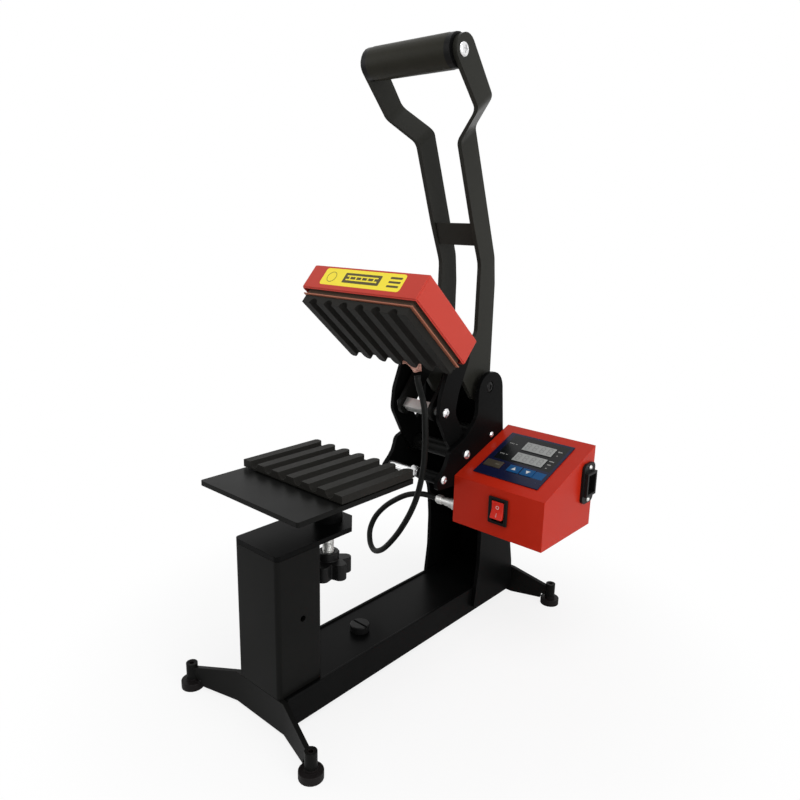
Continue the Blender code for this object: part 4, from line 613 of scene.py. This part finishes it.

# %% [markdown]
# The floor is one flat sheet. It stands in the picture only as a soft contact shadow: its own
# colour is white, and its surface turns to plain white light where the camera sees it far from the
# machine.

# %% Floor


def floor_finish():
    finish = Finish("studio_floor")
    speck = finish.grain(40.0, 2.0)
    diffuse = finish.add("ShaderNodeBsdfDiffuse", {}, {
        "Color": finish.mix(speck, colour(0.93, 0.93, 0.93), colour(0.96, 0.96, 0.96))})
    glow = finish.add("ShaderNodeEmission", {}, {"Color": colour(1.0, 1.0, 1.0), "Strength": 1.0})
    light = finish.add("ShaderNodeLightPath", {}, {}, "Is Camera Ray")
    x, y, _ = finish.parts(finish.place())
    away = (x * x + y * y).steps(0.02, 0.16)
    share = (light * (0.83 + away * 0.17)).smaller(1.0)
    return finish.end(finish.add("ShaderNodeMixShader", {}, {0: share, 1: diffuse, 2: glow}))


floor_mesh = bpy.data.meshes.new("studio_floor")
half_floor = FLOOR_SIZE / 2
floor_corners = [(x * half_floor, y * half_floor, 0.0) for x, y in ((-1, -1), (1, -1), (1, 1), (-1, 1))]
floor_mesh.from_pydata(floor_corners, [], [(0, 1, 2, 3)])
floor = new_piece("studio_floor", floor_mesh, floor_finish())

# %% [markdown]
# Sheet steel is never knife sharp: it is bent round a small radius, and its coat rounds every cut
# edge. Each CAD mesh is copied, merged into clean flat faces, and its sharp edges are bevelled.
# The copy then stands for the CAD node. A fold in a plate gets a wider bend before that.

# %% Look up bodies and slots
SHARP = math.radians(24)
body_of_node = {
    node: body for body, members in frame["record"]["behaviour"]["bodies"].items() for node in members}
slot_of_node = {part["node"]: part["material_slot"] for part in frame["record"]["subparts"]}


def sharp_edges(shape):
    return [edge for edge in shape.edges
            if len(edge.link_faces) == 2 and edge.calc_face_angle(0.0) > SHARP]


def bevel(shape, edges, width, segments):
    bmesh.ops.bevel(shape, geom=edges, offset=width, offset_type="OFFSET", segments=segments,
                    profile=0.5, affect="EDGES", clamp_overlap=True)


# %% [markdown]
# A Bevel modifier would do too, but it can't tell a fold's wide bend from a cut edge's fine one.

# %% Copy, cut and round
COAT_EDGE = 0.4 * MM
EDGE_SEGMENTS = 2
FOLD_SEGMENTS = 6


def merged_copy(node):
    """A bmesh of a CAD node with its loose triangles merged and its flat faces joined."""
    shape = bmesh.new()
    shape.from_mesh(frame["nodes"][node].data)
    bmesh.ops.remove_doubles(shape, verts=shape.verts, dist=2e-6)
    bmesh.ops.dissolve_limit(
        shape, angle_limit=math.radians(0.5), verts=shape.verts, edges=shape.edges, delimit=set())
    bmesh.ops.recalc_face_normals(shape, faces=shape.faces)
    return shape


def cut_off(shape, place, outward):
    """Removes what lies past a plane and closes the cut."""
    everything = list(shape.verts) + list(shape.edges) + list(shape.faces)
    cut = bmesh.ops.bisect_plane(shape, geom=everything, plane_co=place, plane_no=outward, clear_outer=True)
    rim = [part for part in cut["geom_cut"] if isinstance(part, bmesh.types.BMEdge)]
    bmesh.ops.holes_fill(shape, edges=rim)


def piece_from(shape, name, node, material):
    """A bmesh as a finished piece that rides with a CAD node's body."""
    for face in shape.faces:
        face.smooth = True
    piece = new_piece(name, mesh_from(shape, name), material)
    normals = piece.modifiers.new("even_normals", "WEIGHTED_NORMAL")
    normals.keep_sharp = True
    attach(piece, body_of_node[node])
    return piece


def rounded_copy(node, material, width=COAT_EDGE, folds=(), cuts=(), shaped=None):
    """A CAD node again: cut off at planes, folded round radii, reshaped, and with soft edges."""
    shape = merged_copy(node)
    for place, outward in cuts:
        cut_off(shape, place, outward)
    if shaped:
        shaped(shape)
    for chosen, radius in folds:
        bevel(shape, [edge for edge in sharp_edges(shape) if chosen(edge)], radius, FOLD_SEGMENTS)
    bevel(shape, sharp_edges(shape), width, EDGE_SEGMENTS)
    piece = piece_from(shape, node + "_rounded", node, material)
    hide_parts(node)
    return piece


# %% [markdown]
# The handle's bars are set outwards for the grip in two soft bends. The CAD bar has sharp folds
# there. So the copy is sliced across both folds, and each slice moves sideways by the difference
# between a smooth ramp and the sharp one. The slices are parallel to the fold lines.

# %% Soft bends in the handle
CRANK_UP = Vector((0, -0.5633, 0.8263))
CRANK_SET = 30.0 * MM
BEND_REACH = 4.5 * MM
BEND_SLICES = 7


def sharp_ramp(travel):
    """Level, then rising one for one."""
    return max(travel, 0.0)


def soft_ramp(travel):
    """Level, then rising one for one, with a parabola between the two."""
    if abs(travel) >= BEND_REACH:
        return sharp_ramp(travel)
    return (travel + BEND_REACH) ** 2 / (4 * BEND_REACH)


def crank_folds(shape):
    """Where the folds are, along the bar: measured on the mesh."""
    places = sorted(
        sum(vertex.co.dot(CRANK_UP) for vertex in edge.verts) / 2 for edge in sharp_edges(shape)
        if all(0.45 < abs(face.normal.x) for face in edge.link_faces))
    return places[0], places[-1]


def bend_crank(shape):
    start, end = crank_folds(shape)
    print("crank folds", round(start / MM, 1), round(end / MM, 1))
    for fold in (start, end):
        for index in range(BEND_SLICES + 1):
            travel = fold + BEND_REACH * (2 * index / BEND_SLICES - 1)
            everything = list(shape.verts) + list(shape.edges) + list(shape.faces)
            bmesh.ops.bisect_plane(shape, geom=everything, plane_co=CRANK_UP * travel, plane_no=CRANK_UP)
    side = 1 if max(vertex.co.x for vertex in shape.verts) > MIDDLE_X else -1
    rise = CRANK_SET / (end - start)
    for vertex in shape.verts:
        along = vertex.co.dot(CRANK_UP)
        soft = soft_ramp(along - start) - soft_ramp(along - end)
        sharp = sharp_ramp(along - start) - sharp_ramp(along - end)
        vertex.co.x += side * rise * (soft - sharp)


# %% [markdown]
# Some nodes need their own treatment. The post's corners are bent round a wider radius. The
# bolts lose their plain CAD heads, because detailed heads follow. The levelling feet get the
# hollow that the real studs have in their tops.

# %% Which edges fold, which ends are cut
POST_FOLD = 2.6 * MM
FRAME_OUTSIDE = 39.9
ARM_OUTSIDE = 34.3
GRIP_OUTSIDE = 58.4
STUD_WALL = 0.7 * MM
STUD_HOLLOW = 4.0 * MM
MAT_EDGE = 315.6 * MM
MAT_THINNING = 0.45
EDGE_WIDTHS = {"star_knob": 1.2, "switch_bezel": 1.0, "bed_plate": 0.7, "platen_cover": 0.7,
               "control_box_shell": 0.6, "lower_mould": 0.5, "upper_mould": 0.5}


def upright_edge(edge):
    direction = (edge.verts[0].co - edge.verts[1].co).normalized()
    return abs(direction.z) > 0.99 and edge.calc_length() > 50 * MM


def ends_at(reach):
    """The two planes, square to X, that cut a bolt off where its heads begin."""
    return [((MIDDLE_X + side * reach * MM, 0, 0), (side, 0, 0)) for side in (-1, 1)]


def hollow_stud(shape):
    """Sinks the flat top of a foot's stud."""
    shape.faces.ensure_lookup_table()
    level_faces = [face for face in shape.faces if face.normal.z > 0.99]
    top = max(level_faces, key=lambda face: face.calc_center_median().z)
    bmesh.ops.inset_individual(shape, faces=[top], thickness=STUD_WALL, depth=0.0)
    sunk = bmesh.ops.extrude_discrete_faces(shape, faces=[top])["faces"]
    bmesh.ops.translate(shape, verts=list(sunk[0].verts), vec=(0, 0, -STUD_HOLLOW))


def thin_mat(shape):
    """Draws the mat's two skins together: only a thin line of it shows between its neighbours."""
    middle = sum((vertex.co for vertex in shape.verts), Vector()) / len(shape.verts)
    across = max(shape.faces, key=lambda face: face.calc_area()).normal.copy()
    for vertex in shape.verts:
        vertex.co -= across * (vertex.co - middle).dot(across) * MAT_THINNING


treatment = {
    "handle_arm_left": {"shaped": bend_crank},
    "handle_arm_right": {"shaped": bend_crank},
    "heater_pad": {"cuts": [((0, 0, MAT_EDGE), (0, 0, -1))], "shaped": thin_mat},
    "front_post": {"folds": [(upright_edge, POST_FOLD)]},
    "arm_shaft": {"cuts": ends_at(FRAME_OUTSIDE)},
    "tie_bolt": {"cuts": ends_at(FRAME_OUTSIDE)},
    "nose_bolt": {"cuts": ends_at(FRAME_OUTSIDE)},
    "link_bar": {"cuts": ends_at(ARM_OUTSIDE)},
    "grip_rod": {"cuts": ends_at(GRIP_OUTSIDE)},
}
for node, width in EDGE_WIDTHS.items():
    treatment[node] = {"width": width * MM}
for node in body_of_node:
    if node.startswith("levelling_foot"):
        treatment[node] = {"shaped": hollow_stud}

# %% [markdown]
# Now everything is dressed. The material goes by the record's own slot names.

# %% Dress the nodes
finish_of_slot = {
    "black_coat": black_coat, "red_coat": red_coat, "mould_coat": mould_coat, "zinc": zinc,
    "chrome": chrome, "black_plastic": black_plastic, "rubber": foot_rubber, "heater": heater_mat,
    "insulation": fibre_board, "spacer": spacer_sheet, "window": window_film, "brown_key": brown_key,
    "blue_key": blue_key, "red_switch": switch_red, "film": panel_film, "lead_sleeve": lead_braid,
}
# The handle's copy of the black coat is painted light, and the frame's darker copy is painted shade.
finish_of_node = {
    "grip_sleeve": grip_foam, "handle_arm_left": handle_painted_light_coat, "handle_arm_right": handle_painted_light_coat,
    "handle_cross_plate": handle_painted_light_coat, "base_channel": painted_shade_coat, "frame_plate_left": painted_shade_coat,
    "frame_plate_right": painted_shade_coat, "frame_back_plate": painted_shade_coat, "post_cap_plate": painted_shade_coat,
    "arm_plate_left": painted_shade_coat, "arm_plate_right": painted_shade_coat, "nose_sleeve": painted_shade_coat,
    "platen_cover": cover_painted_light_coat,
}
for node, item in frame["nodes"].items():
    item.data.materials.clear()
    item.data.materials.append(finish_of_slot[slot_of_node[node]])

OWN_PIECES = {"heater_lead", "lift_screw"}
made = []
for node in frame["nodes"]:
    if node in OWN_PIECES:
        continue
    finish = finish_of_node.get(node, finish_of_slot[slot_of_node[node]])
    made.append(rounded_copy(node, finish, **treatment.get(node, {})))
print(len(made), "rounded copies,", sum(len(piece.data.polygons) for piece in made), "faces")

# %% [markdown]
# Screw heads repeat, so Geometry Nodes make them. The tree takes points, one for each head, with
# two attributes: the way the head looks and its radius. It shapes one head of radius one, a low
# dome with a recess cut out of it, puts a copy on each point and turns it.

# %% A small helper for node trees
TREE_TYPES = {"geometry": "NodeSocketGeometry", "number": "NodeSocketFloat", "count": "NodeSocketInt",
              "material": "NodeSocketMaterial"}


class Tree:
    """A Geometry Nodes tree under construction, with named inputs."""

    def __init__(self, name, inputs):
        self.group = bpy.data.node_groups.new(name, "GeometryNodeTree")
        self.group.interface.new_socket("Geometry", in_out="OUTPUT", socket_type="NodeSocketGeometry")
        for label, kind in inputs.items():
            self.group.interface.new_socket(label, in_out="INPUT", socket_type=TREE_TYPES[kind])
        self.start = self.group.nodes.new("NodeGroupInput")

    def given(self, label):
        return self.start.outputs[label]

    def add(self, kind, settings, sockets, output=0):
        return socket_named(add_node(self.group, kind, settings, sockets).outputs, output)

    def maths(self, operation, *values):
        return self.add("ShaderNodeMath", {"operation": operation}, dict(enumerate(values)))

    def vector(self, x, y, z):
        return self.add("ShaderNodeCombineXYZ", {}, {0: x, 1: y, 2: z})

    def finish(self, geometry, material):
        """Every tree ends in real geometry with a material."""
        solid = self.add("GeometryNodeRealizeInstances", {}, {"Geometry": geometry})
        painted = self.add("GeometryNodeSetMaterial", {}, {"Geometry": solid, "Material": material})
        end = self.group.nodes.new("NodeGroupOutput")
        self.group.links.new(painted, end.inputs[0])
        return self.group


def grown(name, tree, mesh, values, node):
    """Runs a tree on a mesh with values for its named inputs, and keeps the result as a piece."""
    seed = placed(name + "_seed", mesh)
    modifier = seed.modifiers.new(tree.name, "NODES")
    modifier.node_group = tree
    for item in tree.interface.items_tree:
        if item.item_type == "SOCKET" and item.in_out == "INPUT" and item.name in values:
            modifier[item.identifier] = values[item.name]
    bpy.context.view_layer.update()
    solid = bpy.data.meshes.new_from_object(seed.evaluated_get(bpy.context.evaluated_depsgraph_get()))
    bpy.data.objects.remove(seed)
    piece = new_piece(name, solid, values["Material"])
    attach(piece, body_of_node[node])
    print(name, len(solid.polygons), "faces")
    return piece


# %% [markdown]
# The head's tree. A ball is flattened to a dome, and a Boolean takes away its lower half and the
# recess at once: a six-sided prism for a hexagon key, or two crossed blocks for a screwdriver.

# %% The screw head's tree


def screw_tree(name, cross):
    """Low domed heads with a hexagon socket, or with a cross for a screwdriver."""
    tree = Tree(name, {"Geometry": "geometry", "Head Height": "number", "Recess": "number",
                       "Recess Depth": "number", "Material": "material"})
    height = tree.given("Head Height")
    ball = tree.add("GeometryNodeMeshUVSphere", {}, {"Segments": 40, "Rings": 24, "Radius": 1.0}, "Mesh")
    ball = tree.add("GeometryNodeSetShadeSmooth", {}, {"Geometry": ball, "Shade Smooth": True}, "Geometry")
    dome = tree.add("GeometryNodeTransform", {}, {"Geometry": ball, "Scale": tree.vector(1.0, 1.0, height)})
    below = tree.add("GeometryNodeMeshCube", {}, {"Size": (4.0, 4.0, 2.0)}, "Mesh")
    below = tree.add("GeometryNodeTransform", {}, {"Geometry": below, "Translation": (0.0, 0.0, -1.0)})
    floor_height = tree.maths("SUBTRACT", height, tree.given("Recess Depth"))
    lift = tree.maths("ADD", floor_height, 1.0)
    recess = tree.given("Recess")
    if cross:
        tool = [tree.add("GeometryNodeMeshCube", {}, {"Size": tree.vector(
            tree.maths("MULTIPLY", recess, wide), tree.maths("MULTIPLY", recess, deep), 2.0)}, "Mesh")
            for wide, deep in ((2.0, 0.48), (0.48, 2.0))]
    else:
        tool = [tree.add("GeometryNodeMeshCylinder", {}, {
            "Vertices": 6, "Radius": recess, "Depth": 2.0}, "Mesh")]
    tool = [tree.add("GeometryNodeTransform", {}, {
        "Geometry": part, "Translation": tree.vector(0.0, 0.0, lift)}) for part in tool]
    head = tree.add("GeometryNodeMeshBoolean", {"operation": "DIFFERENCE", "solver": "EXACT"}, {
        "Mesh 1": dome, "Mesh 2": [below] + tool}, "Mesh")
    aim, size = (
        tree.add("GeometryNodeInputNamedAttribute", {"data_type": kind}, {"Name": label}, "Attribute")
        for label, kind in (("aim", "FLOAT_VECTOR"), ("size", "FLOAT")))
    turn = tree.add("FunctionNodeAlignRotationToVector", {"axis": "Z"}, {"Vector": aim}, "Rotation")
    heads = tree.add("GeometryNodeInstanceOnPoints", {}, {
        "Points": tree.given("Geometry"), "Instance": head, "Rotation": turn,
        "Scale": tree.vector(size, size, size)}, "Instances")
    return tree.finish(heads, tree.given("Material"))


hexagon_heads = screw_tree("hexagon_heads", cross=False)
cross_heads = screw_tree("cross_heads", cross=True)


def head_points(name, heads):
    """A mesh of points, each with where its head looks and how large it is."""
    mesh = bpy.data.meshes.new(name)
    mesh.from_pydata([tuple(place) for place, _, _ in heads], [], [])
    mesh.attributes.new("aim", "FLOAT_VECTOR", "POINT")
    mesh.attributes.new("size", "FLOAT", "POINT")
    for index, (_, way, radius) in enumerate(heads):
        mesh.attributes["aim"].data[index].vector = way
        mesh.attributes["size"].data[index].value = radius
    return mesh


# %% [markdown]
# Each bolt of the machine runs along X, so it has a head on both sides, at the same place. Its
# axis is written down as how far back and how high it is in the maker's drawing.

# %% Place the heads
BOLT_HEAD = 5.1 * MM
NOSE_HEAD = 4.5 * MM
TIE_HEAD = 3.3 * MM
GRIP_HEAD = 6.3 * MM
SHAFT_HEAD = 5.4 * MM
ARM_AXIS = (252, 209)
NOSE_AXIS = (213, 190)
TIE_AXIS = (297.5, 222.2)
LINK_AXIS = (219.492, 260.473)
HANDLE_AXIS = (290, 278)
GRIP_AXIS = (194, 598)
SHAFT_END = (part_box("handle_shaft")[1].x - MIDDLE_X) / MM - 0.1
print("handle shaft ends at", round(SHAFT_END, 2), "mm from the middle")


def both_ends(reach, axis, radius):
    """A head on each end of something that runs along X."""
    return [(at(side * reach, *axis), (side, 0, 0), radius) for side in (-1, 1)]


def heads(name, tree, places, shape, node, material=chrome, slot="chrome"):
    """Heads of one shape: how high, how wide the recess and how deep, for a radius of one."""
    values = dict(zip(("Head Height", "Recess", "Recess Depth"), shape), Material=material)
    grown(name, tree, head_points(name + "_points", places), values, node)


frame_bolts = (both_ends(FRAME_OUTSIDE, ARM_AXIS, BOLT_HEAD) + both_ends(FRAME_OUTSIDE, NOSE_AXIS, NOSE_HEAD)
               + both_ends(FRAME_OUTSIDE, TIE_AXIS, TIE_HEAD))
heads("frame_bolt_heads", hexagon_heads, frame_bolts, (0.57, 0.30, 0.3), "arm_shaft")
heads("arm_bolt_heads", hexagon_heads, both_ends(ARM_OUTSIDE, LINK_AXIS, BOLT_HEAD), (0.57, 0.34, 0.3),
      "link_bar")
heads("handle_shaft_heads", hexagon_heads, both_ends(SHAFT_END, HANDLE_AXIS, SHAFT_HEAD), (0.22, 0.55, 0.2),
      "handle_shaft", black_plastic, "black_plastic")
heads("grip_screw_heads", cross_heads, both_ends(GRIP_OUTSIDE, GRIP_AXIS, GRIP_HEAD), (0.37, 0.5, 0.28),
      "grip_rod")

# %% [markdown]
# The control box is closed at the back with four small countersunk screws, one in each corner.
# The back isn't in view, so their places are a maker's usual choice.

# %% Screws of the control box
BACK_SCREW = 2.6 * MM
BACK_SCREW_INSET = 7.0 * MM
BACK_SCREW_SUNK = 0.05 * MM
back_low, back_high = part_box("control_box_shell")
heads("box_back_screws", cross_heads, [
    (Vector((x, back_high.y - BACK_SCREW_SUNK, z)), (0, 1, 0), BACK_SCREW)
    for x in (back_low.x + BACK_SCREW_INSET, back_high.x - BACK_SCREW_INSET)
    for z in (back_low.z + BACK_SCREW_INSET, back_high.z - 2 * BACK_SCREW_INSET)],
    (0.25, 0.5, 0.18), "control_box_shell")

# %% [markdown]
# The mat's tab is wrapped in thin foil where the lead comes out. It was crumpled by hand, so a
# grid is bent by noise: broad waves for the folds and fine ones for the creases.

# %% Crumpled foil
FOIL_COLUMNS, FOIL_ROWS = 30, 18
FOIL_THICKNESS = 0.25 * MM


def foil_place(across, down):
    """A place on the foil; both values run from 0 to 1."""
    x = -32.5 + 25.0 * across
    low = 309.5 - 5.5 * across + 2.2 * math.sin(across * 7.5)
    z = 317.0 + (low - 317.0) * down
    crease = noise.noise(Vector((across * 3.1, down * 2.3, 4.0))) * 2.2
    crease += abs(noise.noise(Vector((across * 9.0, down * 6.0, 9.0)))) * 1.4
    return Vector((x + crease * 0.4, 12.4 + down * 1.2 + crease, z)) * MM


foil_shape = bmesh.new()
foil_grid = [[foil_shape.verts.new(foil_place(column / FOIL_COLUMNS, row / FOIL_ROWS))
              for row in range(FOIL_ROWS + 1)] for column in range(FOIL_COLUMNS + 1)]
for left, right in zip(foil_grid, foil_grid[1:]):
    for row in range(FOIL_ROWS):
        foil_shape.faces.new((left[row], left[row + 1], right[row + 1], right[row]))
bmesh.ops.solidify(foil_shape, geom=foil_shape.faces[:], thickness=FOIL_THICKNESS)
bmesh.ops.recalc_face_normals(foil_shape, faces=foil_shape.faces)
piece_from(foil_shape, "foil_wrap", "heater_pad", foil)

# %% [markdown]
# A screw thread is a ridge that climbs round a core by one pitch a turn. In Geometry Nodes that
# is a Spiral curve with a small triangle swept along it. The core is a plain turned rod, a little
# thinner than the CAD screw, and the ridge's tip brings it back to full size.

# %% Lift screw
SCREW_RADIUS = 5.9 * MM
THREAD_PITCH = 1.75 * MM
THREAD_DEPTH = 0.8 * MM
SCREW_END = 2 * MM


def thread_tree():
    tree = Tree("screw_thread", {"Geometry": "geometry", "Radius": "number", "Pitch": "number",
                                 "Length": "number", "Depth": "number", "Material": "material"})
    length, radius = tree.given("Length"), tree.given("Radius")
    turns = tree.maths("DIVIDE", length, tree.given("Pitch"))
    spiral = tree.add("GeometryNodeCurveSpiral", {}, {
        "Resolution": 24, "Rotations": turns, "Start Radius": radius, "End Radius": radius,
        "Height": length}, "Curve")
    ridge = tree.add("GeometryNodeCurvePrimitiveCircle", {}, {
        "Resolution": 3, "Radius": tree.maths("MULTIPLY", tree.given("Depth"), 0.9)}, "Curve")
    swept = tree.add("GeometryNodeCurveToMesh", {}, {
        "Curve": spiral, "Profile Curve": ridge, "Fill Caps": True}, "Mesh")
    joined = tree.add("GeometryNodeJoinGeometry", {}, {"Geometry": [swept, tree.given("Geometry")]})
    return tree.finish(joined, tree.given("Material"))


screw_low, screw_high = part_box("lift_screw")
screw_axis = at(0, 86.5, 0)
core_radius = SCREW_RADIUS - THREAD_DEPTH
thread_length = screw_high.z - screw_low.z - 2 * SCREW_END
core = bmesh.new()
bmesh.ops.create_cone(
    core, cap_ends=True, segments=32, radius1=core_radius, radius2=core_radius, depth=thread_length)
core_mesh = mesh_from(core, "screw_core")
core_mesh.transform(Matrix.Translation((0, 0, thread_length / 2)))
lift_screw = grown("threaded_lift_screw", thread_tree(), core_mesh, {
    "Radius": core_radius, "Pitch": THREAD_PITCH, "Depth": THREAD_DEPTH,
    "Length": thread_length, "Material": zinc}, "lift_screw")
lift_screw.data.transform(Matrix.Translation((screw_axis.x, screw_axis.y, screw_low.z + SCREW_END)))
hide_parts("lift_screw")

# %% [markdown]
# Printed marks and decals are a few hundredths of a millimetre thick. Each is a flat outline that
# is drawn in the plane of the surface, dropped on the surface along its normal, and given a tiny
# thickness. `Printer` knows such a plane: its corner, its two directions and the nodes it meets.

# %% Print flat outlines on a surface
FILM = 0.06 * MM
DROP_FROM = 20 * MM


class Printer:
    """Draws outlines in millimetres on the nodes that it looks at."""

    def __init__(self, corner, across, along, nodes):
        self.corner, self.across, self.along = corner, across.normalized(), along.normalized()
        self.normal = self.across.cross(self.along)
        verts, faces = [], []
        for node in nodes:
            mesh = frame["nodes"][node].data
            first = len(verts)
            verts += [vertex.co.copy() for vertex in mesh.vertices]
            faces += [tuple(first + index for index in face.vertices) for face in mesh.polygons]
        self.surface = BVHTree.FromPolygons(verts, faces)

    def height(self, place):
        hit = self.surface.ray_cast(place + self.normal * DROP_FROM, -self.normal)[0]
        return (hit - place).dot(self.normal)

    def put(self, name, outlines, material, node, lift=0.0):
        """One piece from outlines, each a list of places across and along, in millimetres."""
        shape = bmesh.new()
        for outline in outlines:
            places = [self.corner + (self.across * x + self.along * y) * MM for x, y in outline]
            middle = sum(places, Vector()) / len(places)
            rise = self.normal * (self.height(middle) + lift)
            low = [shape.verts.new(place + rise - self.normal * FILM) for place in places]
            high = [shape.verts.new(place + rise + self.normal * FILM) for place in places]
            shape.faces.new(high)
            shape.faces.new(reversed(low))
            for index in range(len(places)):
                after = (index + 1) % len(places)
                shape.faces.new((low[index], low[after], high[after], high[index]))
        bmesh.ops.recalc_face_normals(shape, faces=shape.faces)
        piece = new_piece(name, mesh_from(shape, name), material)
        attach(piece, body_of_node[node])


# %% [markdown]
# Every mark is made of four plain outlines: a rectangle, one with round corners, an oval ring and
# an arrow. Each outline is convex, because a concave one would need its face cut into triangles.

# %% Outlines to print


def rectangle(x, y, width, height):
    """A rectangle about its centre."""
    w, h = width / 2, height / 2
    return [(x - w, y - h), (x + w, y - h), (x + w, y + h), (x - w, y + h)]


def round_rectangle(x, y, width, height, radius, steps=5):
    """A rectangle about its centre, with rounded corners."""
    w, h = width / 2 - radius, height / 2 - radius
    points = []
    for quarter, (sx, sy) in enumerate(((1, 1), (-1, 1), (-1, -1), (1, -1))):
        for step in range(steps + 1):
            angle = math.pi / 2 * (quarter + step / steps)
            points.append((x + sx * w + radius * math.cos(angle), y + sy * h + radius * math.sin(angle)))
    return points


def ring(x, y, outer_x, outer_y, line, steps=20):
    """An oval line as a chain of small quads."""
    quads = []
    for step in range(steps):
        a, b = (2 * math.pi * turn / steps for turn in (step, step + 1))
        quads.append([
            (x + (outer_x - line) * math.cos(a), y + (outer_y - line) * math.sin(a)),
            (x + outer_x * math.cos(a), y + outer_y * math.sin(a)),
            (x + outer_x * math.cos(b), y + outer_y * math.sin(b)),
            (x + (outer_x - line) * math.cos(b), y + (outer_y - line) * math.sin(b))])
    return quads


# %% [markdown]
# The panel's print: a plain dash and a dot beside each display, a column of small marks on the
# other side, an arrow on each blue key and a bar on the brown one. The two displays show faint
# seven-segment digits that aren't lit.

# %% Panel print
PANEL_ALONG = Vector((0, math.cos(PANEL_SLOPE), math.sin(PANEL_SLOPE)))
panel = Printer(PANEL_CORNER, Vector((1, 0, 0)), PANEL_ALONG,
                ("panel_overlay", "upper_display", "lower_display", "set_key", "up_key", "down_key"))
side_marks = []
for along in (53.2, 73.2):
    side_marks += [rectangle(x, along, 1.3, 1.7) for x in (24.2, 26.2, 28.2)]
    side_marks += [rectangle(32.0, along, 2.2, 1.0)]
for along, width in ((78.0, 5.0), (60.0, 5.5), (54.0, 4.0)):
    side_marks += [rectangle(83.0, along, width, 1.6)]
side_marks += [rectangle(83.0, along, 1.6, 1.6) for along in (71.0, 48.0)]
panel.put("panel_side_marks", side_marks, print_grey, "panel_overlay")
panel.put("panel_blue_field", [rectangle(83.4, 33.5, 12.0, 11.0)], blue_key, "panel_overlay")

ARROW = ((-2.6, -2.2), (2.6, -2.2), (0.0, 2.6))
up_mark = [(53.75 + x, 33.5 + y) for x, y in ARROW]
down_mark = [(69.75 - x, 33.5 - y) for x, y in ARROW]
panel.put("up_arrow", [up_mark], mark_white, "up_key")
panel.put("down_arrow", [down_mark], mark_white, "down_key")
panel.put("set_bar", [rectangle(33.0, 33.5, 5.0, 1.4)], dim_mark, "set_key")

# %% [markdown]
# A seven-segment digit is a rule: seven bars at fixed places in a cell, and the cells repeat.
# Geometry Nodes would need the same table of places, so a plain loop prints the bars here.

# %% Unlit digits
DIGIT_CELLS = 4
DIGITS_LEFT = 42.6
DIGIT_CELL = 8.7
DIGIT_SCALE = 1.75
SEGMENTS = ((0, 2.0, 0), (0, 0, 0), (0, -2.0, 0), (-1, 1.0, 1), (1, 1.0, 1), (-1, -1.0, 1), (1, -1.0, 1))


def digits(middle):
    """Bars of all segments for a row of cells."""
    bars = []
    for index in range(DIGIT_CELLS):
        centre = DIGITS_LEFT + DIGIT_CELL * (index + 0.5)
        for side, row, upright in SEGMENTS:
            x = centre + side * 1.15 * DIGIT_SCALE
            y = middle + row * 1.35 * DIGIT_SCALE
            size = (0.55, 2.1) if upright else (1.7, 0.55)
            bars.append(rectangle(x, y, size[0] * DIGIT_SCALE, size[1] * DIGIT_SCALE))
    return bars


panel.put("upper_digits", digits(73.5), window_shade, "upper_display")
panel.put("lower_digits", digits(53.5), window_shade, "lower_display")

# %% [markdown]
# The rocker is marked with a ring and a bar, the usual signs for off and on. Its face is tilted,
# and the printer drops each small quad on it.

# %% Rocker marks
rocker_plane = Printer(at(97.5, 232, 167), Vector((1, 0, 0)), Vector((0, 0, 1)), ("power_rocker",))
rocker_marks = ring(0, 4.3, 1.9, 1.9, 0.5) + [
    rectangle(0, -5.2 + step, 0.7, 1.0) for step in (0.0, 1.0, 2.0, 3.0)]
rocker_plane.put("rocker_marks", rocker_marks, mark_white, "power_rocker")

# %% [markdown]
# The cover's front wears a yellow decal with rounded corners. Plain shapes stand on it: a dark
# bar with two pale lines, a ring on one side and three short bars on the other.

# %% Decal
DECAL_STEP = 0.12 * MM
arm_turn = Matrix.Rotation(math.radians(-42), 3, "X")
arm_pivot = at(0, *ARM_AXIS)


def on_arm(x, y, z):
    """A place in the closed drawing of the arm, where it is with the arm open."""
    return arm_pivot + arm_turn @ (at(x, y, z) - arm_pivot)


cover_plane = Printer(
    on_arm(0, 35.1, 252.9), Vector((1, 0, 0)), arm_turn @ Vector((0, 0, 1)), ("platen_cover",))
cover_plane.put("decal", [round_rectangle(-1.8, 15.75, 103.6, 19.7, 3.2)], decal_yellow, "platen_cover")
dark_shapes = [round_rectangle(-1.5, 15.9, 47.0, 11.5, 1.0)] + [
    rectangle(39.5, y, 14.0, 2.2) for y in (11.2, 15.9, 20.6)]
cover_plane.put("decal_shapes", dark_shapes, decal_dark, "platen_cover", lift=DECAL_STEP)
pale_lines = [rectangle(-1.5, y, 40.0, 1.5) for y in (18.2, 13.8)] + [
    rectangle(x, 16.0, 1.5, 3.2) for x in (-17.0, -9.0, -1.5, 6.0, 14.0)]
cover_plane.put("decal_lines", pale_lines, decal_yellow, "platen_cover", lift=2 * DECAL_STEP)
cover_plane.put("decal_ring", ring(-41.5, 15.5, 6.0, 6.0, 0.5), decal_dark, "platen_cover", lift=DECAL_STEP)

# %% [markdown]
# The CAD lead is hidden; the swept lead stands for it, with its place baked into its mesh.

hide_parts("heater_lead")
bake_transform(lead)
